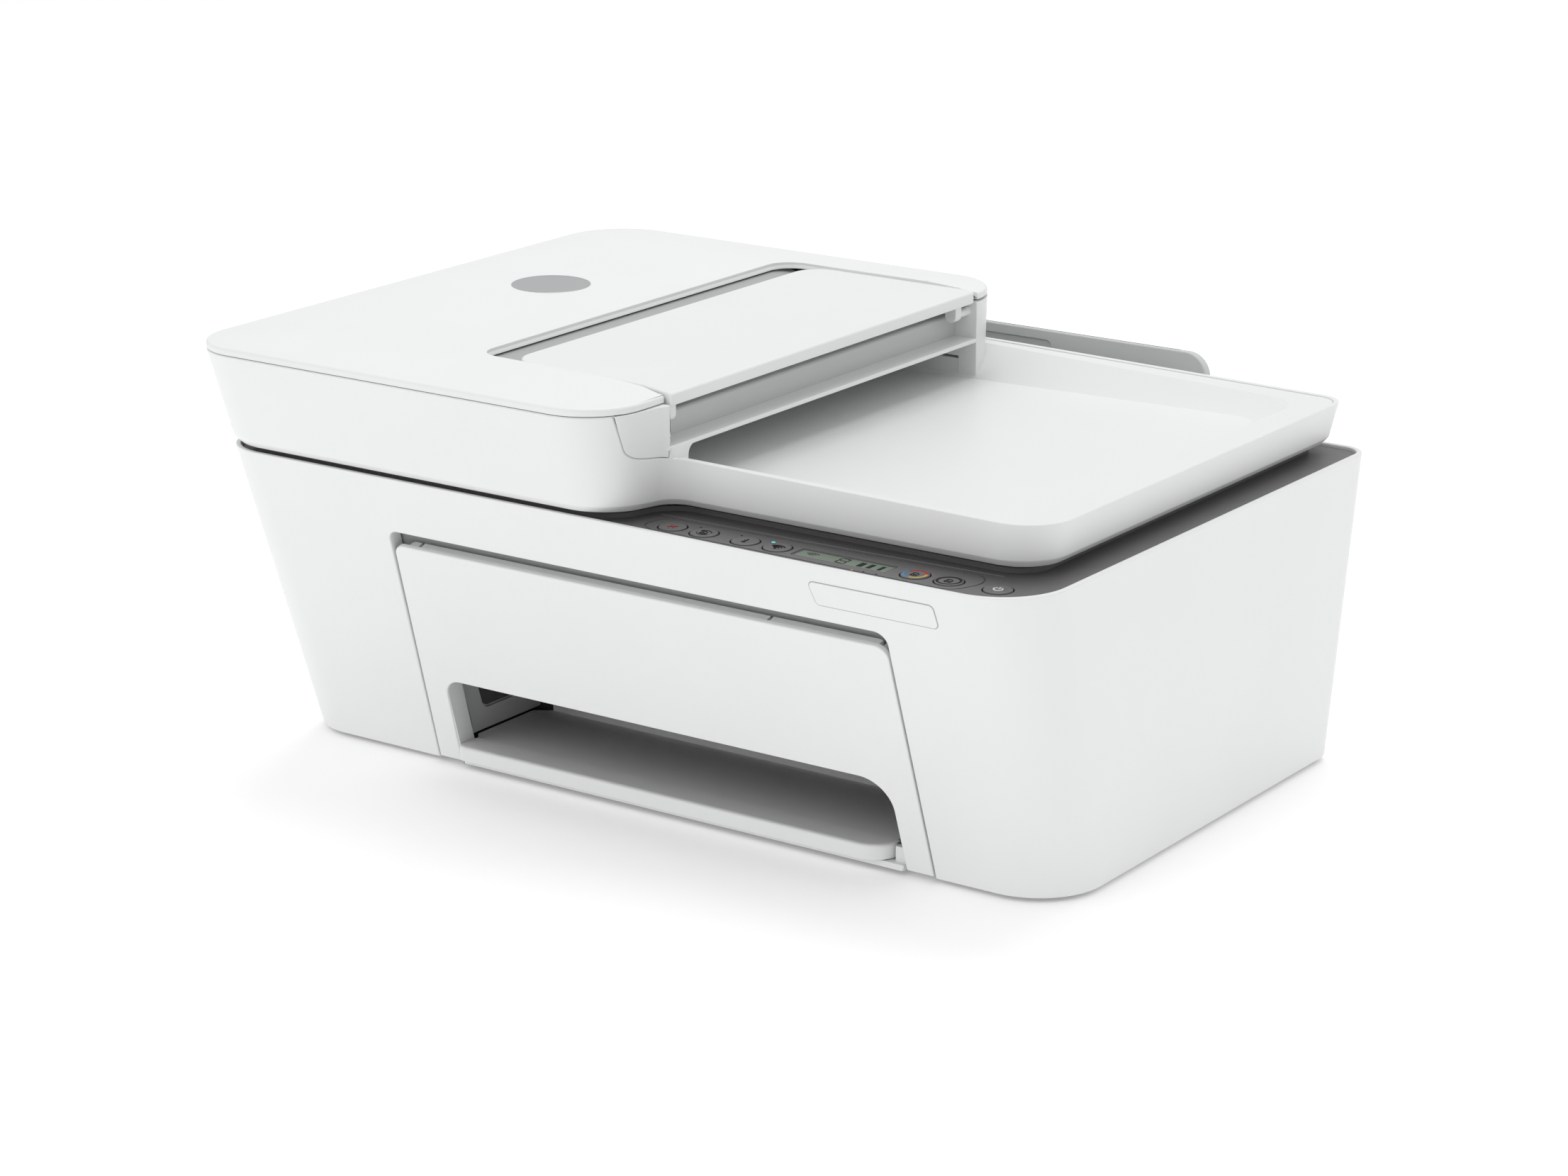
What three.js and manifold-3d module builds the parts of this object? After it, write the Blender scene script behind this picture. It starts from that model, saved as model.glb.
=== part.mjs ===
// An all-in-one inkjet printer: a cartridge printer below, a flatbed scanner above it, and a
// document feeder on the left of the scanner lid.
// Millimetres. +X is to the right of someone facing the printer, +Y is to the back, +Z is up.
// The origin is on the table, under the middle of the printer.
import * as THREE from "three";
import { mergeVertices } from "three/addons/utils/BufferGeometryUtils.js";
import Module from "manifold-3d";

const wasm = await Module();
wasm.setup();

// ---------------------------------------------------------------- driving dimensions
const GAP = 0.4; // between pieces that would otherwise touch
const WALL = 2.5; // moulded walls

// The lower case. Its front leans out by 18 degrees, and its other sides by 2 to 4.
const CENTRE_X = 0.8;
const CASE_BOTTOM = 2;
const CASE_HALF_WIDTH = 208.2;
const CASE_FRONT = -102.4;
const CASE_REAR = 138.6;
const FRONT_LEAN = THREE.MathUtils.degToRad(18);
const FRONT_SLOPE = Math.tan(FRONT_LEAN);
const SIDE_SLOPE = 0.034;
const RIGHT_SLOPE = 0.063;
const REAR_SLOPE = 0.048;
const RIM_LEFT = 146.9;
const RIM_RIGHT = 146;
const DECK_TOP = 144.6;
const DECK_RAISED = 147;

// The lid, and the document feeder on its left.
const LID_BOTTOM = 148.9;
const LID_LIP = 3.3;
const LID_FRONT = -116.5;
const LID_RIGHT = 203.1;
const LID_REAR = 140.3;
const LID_SLOPE = 0.18;
const LID_TOP = 170.3;
const DISH_RISE = 0.02; // the tray inside the lid rises to the right by this much
const LID_TOP_FALL = 0.013; // the rim falls to the right by this much a millimetre
const FEEDER_TOP = 193.9;
const FEEDER_END = 25;
const LID_AXIS = { y: 152.2, z: 162 };

// The front door, the output tray and the opening round them, on the leaning front:
// u is along X, v is up the slope from the case's bottom edge, n is out of the face.
const DOOR_TOP = 116.8;
const OPENING_TOP = 123.9;
const DOOR_AXIS = { v: 7, n: -8 };
const DOOR_THICKNESS = 2.6;
const SLOT_TOP = 46.4;

// The paper path and the printing carriage.
const CARRIAGE_ROD = { y: 12, z: 78, radius: 4 };
const CARRIAGE_CENTRE = 158;
const CARRIAGE_WIDTH = 74;
const FEED_AXIS = { y: 46, z: 52 };
const EXIT_AXIS = { y: -52, z: 46 };
const PICK_AXIS = { y: 100, z: 92 };
const PAPER_GEAR = { teeth: 30, pinion: 10, module: 1, left: -176.5, right: -172.5 };
const SIDE_PLATE_LEFT = -170;
const SIDE_PLATE_RIGHT = 199;

// The rear input tray leans back by 8 degrees.
const REAR_TRAY_LEAN = THREE.MathUtils.degToRad(8);
const REAR_TRAY = { left: -130, right: 123.5, y: 152.4, z: 96, height: 77.5, thickness: 5.5 };

// The control panel: button centres along X, all in one row, and the power button.
const BUTTON_ROW_Y = -132.8;
const BUTTONS = {
  cancel_button: 33.7,
  resume_button: 50,
  info_button: 71.2,
  wireless_button: 87.4,
  colour_copy_button: 155.2,
  black_copy_button: 171.4,
  power_button: 193.6,
};
const BUTTON_RADIUS = 6.1;
const BUTTON_TOP = 145.1;
const DISPLAY = { left: 97, right: 143, front: -136.6, rear: -127.4 };

// The scanner under its glass.
const GLASS = { left: -194, right: 112, front: -92, rear: 124 };
const SCAN_RAIL = { y: 14, half: 2.5, top: 128 };

// The rollers of the document feeder. Their gears share one tooth size.
const GEAR_MODULE = 4 / 3;
const FEEDER_DRIVE = { x: -133.2, z: 176, radius: 10, teeth: 18 };
const FEEDER_PICK = { radius: 8, teeth: 15, angle: THREE.MathUtils.degToRad(16) };
const FEEDER_EXIT = { radius: 6.5, teeth: 15, angle: THREE.MathUtils.degToRad(-30) };
const FEEDER_SHAFT = 2.2;
const PANEL_AXIS = { x: 19.5, z: 188.4 };

// ---------------------------------------------------------------- materials
function plastic(color, roughness) {
  return new THREE.MeshStandardMaterial({ color, roughness, metalness: 0 });
}

function metal(color, roughness) {
  return new THREE.MeshStandardMaterial({ color, roughness, metalness: 1 });
}

const WHITE = () => plastic(0xf0f2f2, 0.5);
const GRAY = () => plastic(0x8b8c8c, 0.55);
const PALE_GRAY = () => plastic(0xb9bcbc, 0.55);
const DARK = () => plastic(0x3a3b3d, 0.6);
const BLACK_RUBBER = () => plastic(0x1b1b1c, 0.9);
const STEEL = () => metal(0xb8babd, 0.3);
const BOARD = () => plastic(0x1f5c3a, 0.5);

// ---------------------------------------------------------------- shapes
// A closed outline, anticlockwise, from corners [x, y, radius]. A corner with a radius becomes an
// arc, and one without stays sharp. If the first corner is sharp, the second one is too.
function rounded(corners) {
  const shape = new THREE.Shape();
  corners.forEach(([x, y, radius = 0], i) => {
    if (radius === 0) {
      if (i === 0) shape.moveTo(x, y);
      else shape.lineTo(x, y);
      return;
    }
    const [bx, by] = corners[(i + corners.length - 1) % corners.length];
    const [ax, ay] = corners[(i + 1) % corners.length];
    const corner = new THREE.Vector2(x, y);
    const back = new THREE.Vector2(bx, by).sub(corner).normalize();
    const ahead = new THREE.Vector2(ax, ay).sub(corner).normalize();
    const half = Math.acos(THREE.MathUtils.clamp(back.dot(ahead), -1, 1)) / 2;
    const middle = back.clone().add(ahead).normalize().multiplyScalar(radius / Math.sin(half));
    const centre = corner.clone().add(middle);
    const from = corner.clone().addScaledVector(back, radius / Math.tan(half)).sub(centre);
    const to = corner.clone().addScaledVector(ahead, radius / Math.tan(half)).sub(centre);
    const clockwise = back.cross(ahead) > 0;
    shape.absarc(centre.x, centre.y, radius, from.angle(), to.angle(), clockwise);
  });
  shape.closePath();
  return shape;
}

// A rectangle's corners for rounded().
function rectangle(x0, x1, y0, y1, radius = 0) {
  return [
    [x0, y0, radius],
    [x1, y0, radius],
    [x1, y1, radius],
    [x0, y1, radius],
  ];
}

// A closed skin over outlines stacked along Z. Each level is [z, corners], and every level has
// the same number of corners.
function stack(levels, segments = 3) {
  const rings = levels.map(([, corners]) => rounded(corners).getPoints(segments).slice(0, -1));
  const count = rings[0].length;
  const positions = levels.flatMap(([z], i) => rings[i].flatMap((p) => [p.x, p.y, z]));
  const index = [];
  for (let level = 0; level + 1 < levels.length; level += 1) {
    for (let i = 0; i < count; i += 1) {
      const a = level * count + i;
      const b = level * count + ((i + 1) % count);
      index.push(a, b, b + count, a, b + count, a + count);
    }
  }
  const top = (levels.length - 1) * count;
  THREE.ShapeUtils.triangulateShape(rings[0], []).forEach(([a, b, c]) => index.push(a, c, b));
  THREE.ShapeUtils.triangulateShape(rings.at(-1), []).forEach(([a, b, c]) => {
    index.push(top + a, top + b, top + c);
  });
  const geometry = new THREE.BufferGeometry();
  geometry.setAttribute("position", new THREE.Float32BufferAttribute(positions, 3));
  geometry.setIndex(index);
  return geometry;
}

function block(x0, x1, y0, y1, z0, z1) {
  const box = new THREE.BoxGeometry(x1 - x0, y1 - y0, z1 - z0);
  return box.translate((x0 + x1) / 2, (y0 + y1) / 2, (z0 + z1) / 2);
}

function extrude(shape, depth, segments) {
  const options = { depth, bevelEnabled: false, curveSegments: segments };
  return new THREE.ExtrudeGeometry(shape, options);
}

// A shape drawn in X and Y, raised from z0 to z1.
function rise(shape, z0, z1, segments = 3) {
  return extrude(shape, z1 - z0, segments).translate(0, 0, z0);
}

// A shape drawn in Y and Z, run along X from x0 to x1.
function along(shape, x0, x1, segments = 3) {
  const turn = new THREE.Matrix4().makeBasis(
    new THREE.Vector3(0, 1, 0),
    new THREE.Vector3(0, 0, 1),
    new THREE.Vector3(1, 0, 0),
  );
  return extrude(shape, x1 - x0, segments).applyMatrix4(turn).translate(x0, 0, 0);
}

// A shape drawn in X and Z, run back along Y from y0 to y1.
function backwards(shape, y0, y1, segments = 3) {
  return extrude(shape, y1 - y0, segments).rotateX(Math.PI / 2).translate(0, y1, 0);
}

// A round bar along X, Y or Z from one end to the other, with its centre line at (a, b): Y and Z
// for a bar along X, X and Z along Y, X and Y along Z.
function bar(axis, radius, from, to, a, b, sides = 12) {
  const round = new THREE.CylinderGeometry(radius, radius, to - from, sides);
  const middle = (from + to) / 2;
  if (axis === "x") return round.rotateZ(Math.PI / 2).translate(middle, a, b);
  if (axis === "y") return round.translate(a, middle, b);
  return round.rotateX(Math.PI / 2).translate(a, b, middle);
}

// A spur gear's outline with straight-sided teeth. turn is in teeth: 0.5 puts a gap on the axis
// that 0 puts a tooth on.
function gearShape(teeth, module, turn) {
  const pitch = (2 * Math.PI) / teeth;
  const root = (teeth * module) / 2 - 1.15 * module;
  const tip = (teeth * module) / 2 + 0.85 * module;
  const edge = [
    [-0.32, root],
    [-0.13, tip],
    [0.13, tip],
    [0.32, root],
  ];
  const shape = new THREE.Shape();
  for (let tooth = 0; tooth < teeth; tooth += 1) {
    edge.forEach(([part, radius], i) => {
      const angle = (tooth + turn + part) * pitch;
      const point = [radius * Math.cos(angle), radius * Math.sin(angle)];
      if (tooth === 0 && i === 0) shape.moveTo(...point);
      else shape.lineTo(...point);
    });
  }
  shape.closePath();
  return shape;
}

// ---------------------------------------------------------------- joining and cutting
function solid(shape) {
  if (shape instanceof wasm.Manifold) return shape;
  const bare = shape.clone();
  bare.deleteAttribute("normal");
  bare.deleteAttribute("uv");
  const merged = mergeVertices(bare, 1e-4);
  const vertProperties = new Float32Array(merged.attributes.position.array);
  const triVerts = new Uint32Array(merged.index.array);
  return new wasm.Manifold(new wasm.Mesh({ numProp: 3, vertProperties, triVerts }));
}

function join(first, ...others) {
  return others.reduce((all, other) => all.add(solid(other)), solid(first));
}

function cut(first, ...tools) {
  return tools.reduce((rest, tool) => rest.subtract(solid(tool)), solid(first));
}

function common(first, second) {
  return solid(first).intersect(solid(second));
}

function geometryOf(shape) {
  if (!(shape instanceof wasm.Manifold)) return shape;
  const { vertProperties, triVerts } = shape.getMesh();
  const geometry = new THREE.BufferGeometry();
  geometry.setAttribute("position", new THREE.BufferAttribute(vertProperties, 3));
  geometry.setIndex(new THREE.BufferAttribute(triVerts, 1));
  geometry.computeVertexNormals();
  return geometry;
}

const printer = new THREE.Group();

function piece(name, shape, material, parent = printer) {
  const mesh = new THREE.Mesh(geometryOf(shape), material);
  mesh.name = name;
  parent.add(mesh);
  return mesh;
}

// ---------------------------------------------------------------- the case's own surfaces
const frontY = (z) => CASE_FRONT - FRONT_SLOPE * (z - CASE_BOTTOM);
const rearY = (z) => CASE_REAR + REAR_SLOPE * (z - CASE_BOTTOM);
const halfWidth = (z) => CASE_HALF_WIDTH + SIDE_SLOPE * (z - CASE_BOTTOM);

function caseCorners(z, inset = 0) {
  const left = CENTRE_X - halfWidth(z) + inset;
  const right = CENTRE_X + CASE_HALF_WIDTH + RIGHT_SLOPE * (z - CASE_BOTTOM) - inset;
  const front = frontY(z) + inset;
  const rear = rearY(z) - inset;
  return [
    [left, front, 26 - inset],
    [right, front, 32 - inset],
    [right, rear, 12 - inset],
    [left, rear, 12 - inset],
  ];
}

// The lid's outline: the full width under the feeder, then set back behind the control panel.
function lidCorners(z, inset = 0) {
  const above = z - LID_BOTTOM;
  const feederFront = frontY(z) + inset;
  const setBack = LID_FRONT - 0.1 * above + inset;
  const rear = LID_REAR + LID_SLOPE * above - inset;
  const left = CENTRE_X - halfWidth(z) + inset;
  return [
    [left, feederFront, 27],
    [12 + 0.13 * above - inset, feederFront, 28 - inset],
    [22 + 0.05 * above - inset, setBack, 10 + inset],
    [LID_RIGHT + LID_SLOPE * above - inset, setBack, 22],
    [LID_RIGHT + LID_SLOPE * above - inset, rear, 12],
    [left, rear, 32],
  ];
}

// The leaning front as a frame of its own: local X is u, local Y is v and local Z is n.
const frontFrame = new THREE.Matrix4()
  .makeRotationX(Math.PI / 2 + FRONT_LEAN)
  .setPosition(0, CASE_FRONT, CASE_BOTTOM);

function onFront(shape, n0, n1, segments = 3) {
  return rise(shape, n0, n1, segments).applyMatrix4(frontFrame);
}

const doorAxis = new THREE.Vector3(0, DOOR_AXIS.v, DOOR_AXIS.n).applyMatrix4(frontFrame);

// The whole door with its slot filled in, grown by a gap on every side.
function doorway(gap, top) {
  return rounded([
    [-122.2 - gap, -6],
    [146.4 + gap, -6],
    [145 + gap, top, 6],
    [-115.8 - gap, top, 5],
  ]);
}

// ---------------------------------------------------------------- the lower case
// A plain raised panel with slanted ends, below the buttons.
function badge() {
  return rounded([
    [118.5, 130.6, 2.5],
    [172.5, 130.6, 2.5],
    [170, 142.6, 2.5],
    [114.5, 142.6, 2.5],
  ]);
}

function baseShell() {
  const outer = stack([
    [CASE_BOTTOM, caseCorners(CASE_BOTTOM)],
    [152, caseCorners(152)],
  ]);
  const inner = stack([
    [CASE_BOTTOM - 1, caseCorners(CASE_BOTTOM - 1, WALL)],
    [153, caseCorners(153, WALL)],
  ]);
  const aboveRim = new THREE.Shape();
  aboveRim.moveTo(-230, RIM_LEFT);
  aboveRim.lineTo(-2, RIM_LEFT);
  aboveRim.bezierCurveTo(50, RIM_LEFT, 70, RIM_RIGHT, 130, RIM_RIGHT);
  aboveRim.lineTo(230, RIM_RIGHT);
  aboveRim.lineTo(230, 160);
  aboveRim.lineTo(-230, 160);
  aboveRim.closePath();
  return cut(
    join(outer, onFront(badge(), -1, 0.5)),
    inner,
    backwards(aboveRim, -200, 200, 8),
    onFront(doorway(0.8, OPENING_TOP), -6, 6),
    block(-113, 113, 120, 150, 104, 141),
    block(152, 174, 120, 145, 18, 36),
    block(132, 146, 120, 145, 20, 33),
  );
}

const EAR = { thickness: 2.6, left: -127.4, right: 149.2 };

function bottomPan() {
  const ears = [EAR.left - EAR.thickness, EAR.right].map((x) =>
    block(x, x + EAR.thickness, doorAxis.y - 2.9, doorAxis.y + 5, 3, doorAxis.z + 4.2),
  );
  const notches = [
    block(-126.8, -108.8, -108, -84, 0, 8),
    block(131.4, 148.6, -108, -84, 0, 8),
  ];
  const plate = stack([
    [CASE_BOTTOM, caseCorners(CASE_BOTTOM, WALL + GAP)],
    [4.4, caseCorners(4.4, WALL + GAP)],
  ]);
  const strip = block(-108.4, 131, CASE_FRONT - 0.3, CASE_FRONT + 6, CASE_BOTTOM, 3.3);
  const hole = bar("x", 2.4, -140, 160, doorAxis.y, doorAxis.z);
  return cut(join(plate, strip, ...ears), ...notches, hole);
}

function foot(x, y) {
  return bar("z", 8, 0, CASE_BOTTOM - GAP, x, y);
}

// ---------------------------------------------------------------- the deck and its controls
function scannerDeck() {
  const plate = stack([
    [DECK_TOP - 2.6, caseCorners(DECK_TOP - 2.6, WALL + GAP)],
    [DECK_TOP, caseCorners(DECK_TOP, WALL + GAP)],
  ]);
  const raised = stack([
    [DECK_TOP - 1, lidCorners(DECK_TOP, 7)],
    [DECK_RAISED, lidCorners(DECK_RAISED, 8)],
  ]);
  const { left, right, front, rear } = GLASS;
  const holes = Object.entries(BUTTONS).map(([name, x]) => {
    return bar("z", BUTTON_RADIUS + GAP, 138, 150, x, buttonY(name));
  });
  return cut(
    join(plate, raised),
    rise(rounded(rectangle(left, right, front, rear, 3)), 144.5, 150),
    rise(rounded(rectangle(left + 4, right - 4, front + 4, rear - 4, 3)), 138, 150),
    rise(displayShape(GAP), 143.2, 150),
    ...holes,
  );
}

function scannerGlass() {
  const { left, right, front, rear } = GLASS;
  const corners = rectangle(left + GAP, right - GAP, front + GAP, rear - GAP, 3);
  return rise(rounded(corners), DECK_TOP + 0.3, DECK_RAISED - 0.1);
}

function buttonY(name) {
  return name === "power_button" ? BUTTON_ROW_Y + 1.5 : BUTTON_ROW_Y;
}

function button(x, y) {
  const cap = bar("z", BUTTON_RADIUS, 141, BUTTON_TOP, x, y, 16);
  const flange = bar("z", BUTTON_RADIUS + 1.2, 140.6, 141.6, x, y, 8);
  return join(cap, flange);
}

function displayShape(gap) {
  const { left, right, front, rear } = DISPLAY;
  return rounded(rectangle(left - gap, right + gap, front - gap, rear + gap, 0.8));
}

// ---------------------------------------------------------------- the front door and the trays
function cartridgeDoor() {
  const face = rounded([
    [-122.2, 1],
    [-109.6, 1],
    [-107, SLOT_TOP, 9],
    [132.3, SLOT_TOP, 15],
    [132.9, 1],
    [146.4, 1],
    [145, DOOR_TOP, 6],
    [-115.8, DOOR_TOP, 5],
  ]);
  const slot = [
    [-109.6, -3],
    [132.9, -3],
    [132.3, SLOT_TOP, 15],
    [-107, SLOT_TOP, 9],
  ];
  const flange = cut(
    onFront(rounded([
      [-111.9, 2],
      [135.2, 2],
      [134.6, SLOT_TOP + 2.3, 17],
      [-109.3, SLOT_TOP + 2.3, 11],
    ]), -10.5, -1),
    onFront(rounded(slot), -12, 1),
  );
  const hem = cut(
    onFront(rounded(rectangle(-113.5, 142.5, 60, DOOR_TOP - 1.2, 4)), -7, -1),
    onFront(rounded(rectangle(-111, 140, 55, DOOR_TOP - 3.6)), -8, 1),
  );
  const lugs = [
    [-121, -112],
    [135.4, 145],
  ].map(([u0, u1]) => onFront(rounded(rectangle(u0, u1, 2.5, 12)), -11.5, -1));
  const pins = [
    bar("x", 2, EAR.left - EAR.thickness - 1, -114, doorAxis.y, doorAxis.z),
    bar("x", 2, 138, EAR.right + EAR.thickness + 1, doorAxis.y, doorAxis.z),
  ];
  return join(onFront(face, -DOOR_THICKNESS, 0), flange, hem, ...lugs, ...pins);
}

// The gray floor that printed sheets fall on. Its rear edge runs in under the platen.
function outputTray() {
  const outline = rounded([
    [-106, -96],
    [122, -96],
    [122, -41.6, 8],
    [-92, -41.6],
    [-106, -58],
  ]);
  const runners = [
    [-98, -92],
    [110, 116],
  ].map(([x0, x1]) => block(x0, x1, -94, -46, 4.9, 10));
  return join(rise(outline, 9.2, 11.6), ...runners);
}

// The white lip at the front, on a slide that draws out from under the tray.
function trayExtender() {
  const lip = rounded([
    [-108, -108, 5],
    [124.5, -108, 10],
    [124.5, -96.5],
    [-108, -96.5],
  ]);
  const slide = block(-88, 106, -98, 60, 5.9, 8.5);
  return join(rise(lip, 5.2, 12), slide);
}

// ---------------------------------------------------------------- the printing mechanism
// The pinion turns the feed roller's gear. It stands straight behind it.
const pinionAxis = {
  y: FEED_AXIS.y + ((PAPER_GEAR.teeth + PAPER_GEAR.pinion) * PAPER_GEAR.module) / 2,
  z: FEED_AXIS.z,
};

function chassis() {
  const side = new THREE.Shape();
  side.moveTo(-80, 4.9);
  side.lineTo(118, 4.9);
  side.lineTo(118, 121);
  side.lineTo(-121, 121);
  side.lineTo(-121, 112);
  side.lineTo(-92, 40);
  side.closePath();
  const plates = [SIDE_PLATE_LEFT, SIDE_PLATE_RIGHT].map((x) => along(side, x, x + WALL));
  const [from, to] = [SIDE_PLATE_LEFT, SIDE_PLATE_RIGHT + 1];
  const beams = [
    block(from, to, -121, -118, 106, 121),
    block(from, to, 30, 33, 96, 116),
    block(from, to, -40.5, -38, 9.2, 15.5),
    block(from, 130, 88, 91, 6, 38),
  ];
  const bores = [
    [CARRIAGE_ROD.radius + GAP, CARRIAGE_ROD],
    [3.4, FEED_AXIS],
    [3, EXIT_AXIS],
    [3, PICK_AXIS],
    [2.2, pinionAxis],
  ].map(([radius, axis]) => bar("x", radius, -180, 210, axis.y, axis.z));
  return cut(join(...plates, ...beams), ...bores);
}

function platen() {
  const ribs = [];
  for (let x = -104; x <= 108; x += 26.5) ribs.push(block(x, x + 2, -24, 34, 38, 42));
  const plate = block(-120, 122, -26, 38, 34, 38.4);
  const legs = [block(-120, -117, -26, 38, 5, 35), block(119, 122, -26, 38, 5, 35)];
  return join(plate, ...ribs, ...legs);
}

function carriageRod() {
  const { y, z, radius } = CARRIAGE_ROD;
  return bar("x", radius, SIDE_PLATE_LEFT - 3, SIDE_PLATE_RIGHT + 4, y, z);
}

// The carriage rides on the rod and holds two cartridges side by side, open at the front.
const CARRIAGE = { front: -62, rear: 22, bottom: 56, top: 108 };
const BAY = { width: 31, front: -56, rear: -2 };

function bayLeft(bay) {
  return CARRIAGE_CENTRE + (bay === 0 ? -BAY.width - 2 : 2);
}

function carriage() {
  const { front, rear, bottom, top } = CARRIAGE;
  const left = CARRIAGE_CENTRE - CARRIAGE_WIDTH / 2;
  const right = CARRIAGE_CENTRE + CARRIAGE_WIDTH / 2;
  const side = new THREE.Shape();
  side.moveTo(front + 6, bottom);
  side.lineTo(rear, bottom);
  side.lineTo(rear, top);
  side.lineTo(-8, top);
  side.lineTo(front, 82);
  side.lineTo(front, bottom + 6);
  side.closePath();
  const bays = [0, 1].map((bay) => {
    const x = bayLeft(bay);
    return block(x, x + BAY.width, BAY.front, BAY.rear, bottom + 5, top + 5);
  });
  const nozzles = [0, 1].map((bay) => {
    const x = bayLeft(bay);
    return block(x + 4, x + BAY.width - 4, BAY.front + 10, BAY.rear - 10, bottom - 3, bottom + 8);
  });
  const bore = bar("x", CARRIAGE_ROD.radius + GAP, left - 5, right + 5, CARRIAGE_ROD.y, CARRIAGE_ROD.z);
  return cut(along(side, left, right), ...bays, ...nozzles, bore);
}

function inkCartridge(bay) {
  const x0 = bayLeft(bay) + GAP;
  const x1 = bayLeft(bay) + BAY.width - GAP;
  const bottom = CARRIAGE.bottom + 5 + GAP;
  const body = new THREE.Shape();
  body.moveTo(BAY.front + GAP, bottom);
  body.lineTo(BAY.rear - GAP, bottom);
  body.lineTo(BAY.rear - GAP, 100);
  body.lineTo(-20, 96);
  body.lineTo(-46, 84);
  body.lineTo(BAY.front + GAP, 78);
  body.closePath();
  const head = block(x0 + 5, x1 - 5, BAY.front + 12, BAY.rear - 12, 42.6, bottom + 1);
  return join(along(body, x0, x1), head);
}

// A latch over the front of each cartridge, on a pin across the top of its bay.
const LATCH_AXIS = { y: -32, z: 101.5 };

function cartridgeLatch(bay) {
  const x0 = bayLeft(bay) + 2;
  const x1 = bayLeft(bay) + BAY.width - 2;
  const { y, z } = LATCH_AXIS;
  const profile = new THREE.Shape();
  profile.moveTo(y, z - 2.6);
  profile.lineTo(y + 2.6, z);
  profile.lineTo(y, z + 2.6);
  profile.lineTo(y - 20, z - 4.4);
  profile.lineTo(y - 29, z - 12);
  profile.lineTo(y - 27, z - 14);
  profile.lineTo(y - 19, z - 8);
  profile.closePath();
  return along(profile, x0, x1);
}

const PULLEY = { radius: 8, y: 27, z: 70, left: -157.2, right: 186 };

function pulley(x) {
  const wheel = bar("y", PULLEY.radius, PULLEY.y - 3.2, PULLEY.y + 1.2, x, PULLEY.z);
  const flange = bar("y", PULLEY.radius + 1.2, PULLEY.y + 0.8, PULLEY.y + 1.8, x, PULLEY.z);
  const shaft = bar("y", 1.5, PULLEY.y - 3.2, PULLEY.y + 8, x, PULLEY.z);
  return join(wheel, flange, shaft);
}

// The belt is an endless loop round both pulleys.
function driveBelt() {
  const { left, right, z, radius } = PULLEY;
  const loop = (r) => {
    const path = new THREE.Shape();
    path.absarc(right, z, r, -Math.PI / 2, Math.PI / 2, false);
    path.absarc(left, z, r, Math.PI / 2, (3 * Math.PI) / 2, false);
    path.closePath();
    return path;
  };
  const outline = loop(radius + 1.7);
  outline.holes.push(loop(radius + 0.4));
  return backwards(outline, PULLEY.y - 3, PULLEY.y + 0.4, 6);
}

function carriageMotor() {
  const { right, z, y } = PULLEY;
  const can = bar("y", 13, y + 10, y + 34, right - 4, z);
  const hole = bar("y", 1.9, y + 5, y + 20, right, z);
  return cut(can, hole);
}

// A roller: a steel shaft with rubber sleeves, and a gear at its left end where it has one.
function roller(axis, from, to, shaftRadius, sleeveRadius, sleeves) {
  const shaft = bar("x", shaftRadius, from, to, axis.y, axis.z);
  const rings = sleeves.map(([x0, x1]) => bar("x", sleeveRadius, x0, x1, axis.y, axis.z));
  return join(shaft, ...rings);
}

function evenSleeves(from, to, count, width) {
  const step = (to - from - width) / (count - 1);
  return Array.from({ length: count }, (_, i) => [from + i * step, from + i * step + width]);
}

function feedRoller() {
  const shape = gearShape(PAPER_GEAR.teeth, PAPER_GEAR.module, 0);
  const gear = along(shape, PAPER_GEAR.left, PAPER_GEAR.right);
  gear.translate(0, FEED_AXIS.y, FEED_AXIS.z);
  const sleeves = evenSleeves(-112, 114, 2, 100);
  return join(roller(FEED_AXIS, -178, 204, 3, 6, sleeves), gear);
}

function paperPinion() {
  const shape = gearShape(PAPER_GEAR.pinion, PAPER_GEAR.module, 0.5);
  const gear = along(shape, PAPER_GEAR.left, PAPER_GEAR.right);
  gear.translate(0, pinionAxis.y, pinionAxis.z);
  return join(gear, bar("x", 1.5, PAPER_GEAR.left, -166.5, pinionAxis.y, pinionAxis.z));
}

function paperMotor() {
  const can = bar("x", 12, -166.8, -146, pinionAxis.y, pinionAxis.z);
  const hole = bar("x", 2, -168, -160, pinionAxis.y, pinionAxis.z);
  return cut(can, hole);
}

function serviceStation() {
  const tub = block(122.6, 194, -36, 8, 5, 36);
  const hollow = block(126, 190.6, -33, 5, 9, 40);
  const caps = [0, 1].map((bay) => {
    const x = bayLeft(bay) + 6;
    return block(x, x + 19, -31, -16, 8, 41);
  });
  return join(cut(tub, hollow), ...caps);
}

// The board stands on edge, with the data socket at its rear end.
function mainBoard() {
  const board = block(134, 135.6, 72, 124, 8, 78);
  const socket = block(132.6, 145.4, 119.6, rearY(20) - 0.6, 20.6, 32.4);
  return cut(join(board, socket), block(136.4, 143.6, 121.5, 140, 22.4, 30.6));
}

// The power supply, whose inlet has a rounded mouth with two pins in it.
function powerSupply() {
  const body = block(150, 193, 72, 120, 6, 37);
  const inlet = block(152.6, 173.4, 119.6, rearY(18) - 0.6, 18.6, 35.4);
  const mouth = backwards(rounded(rectangle(154.5, 171.5, 21, 33, 4)), 122.5, 140);
  const pins = [159.5, 166.5].map((x) => bar("y", 1.2, 121, 130, x, 27, 10));
  return join(cut(join(body, inlet), mouth), ...pins);
}

// ---------------------------------------------------------------- the rear paper input
const HOUSING = { left: -136, right: 129.5, rear: 151.6, bottom: 40, top: 141 };

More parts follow.
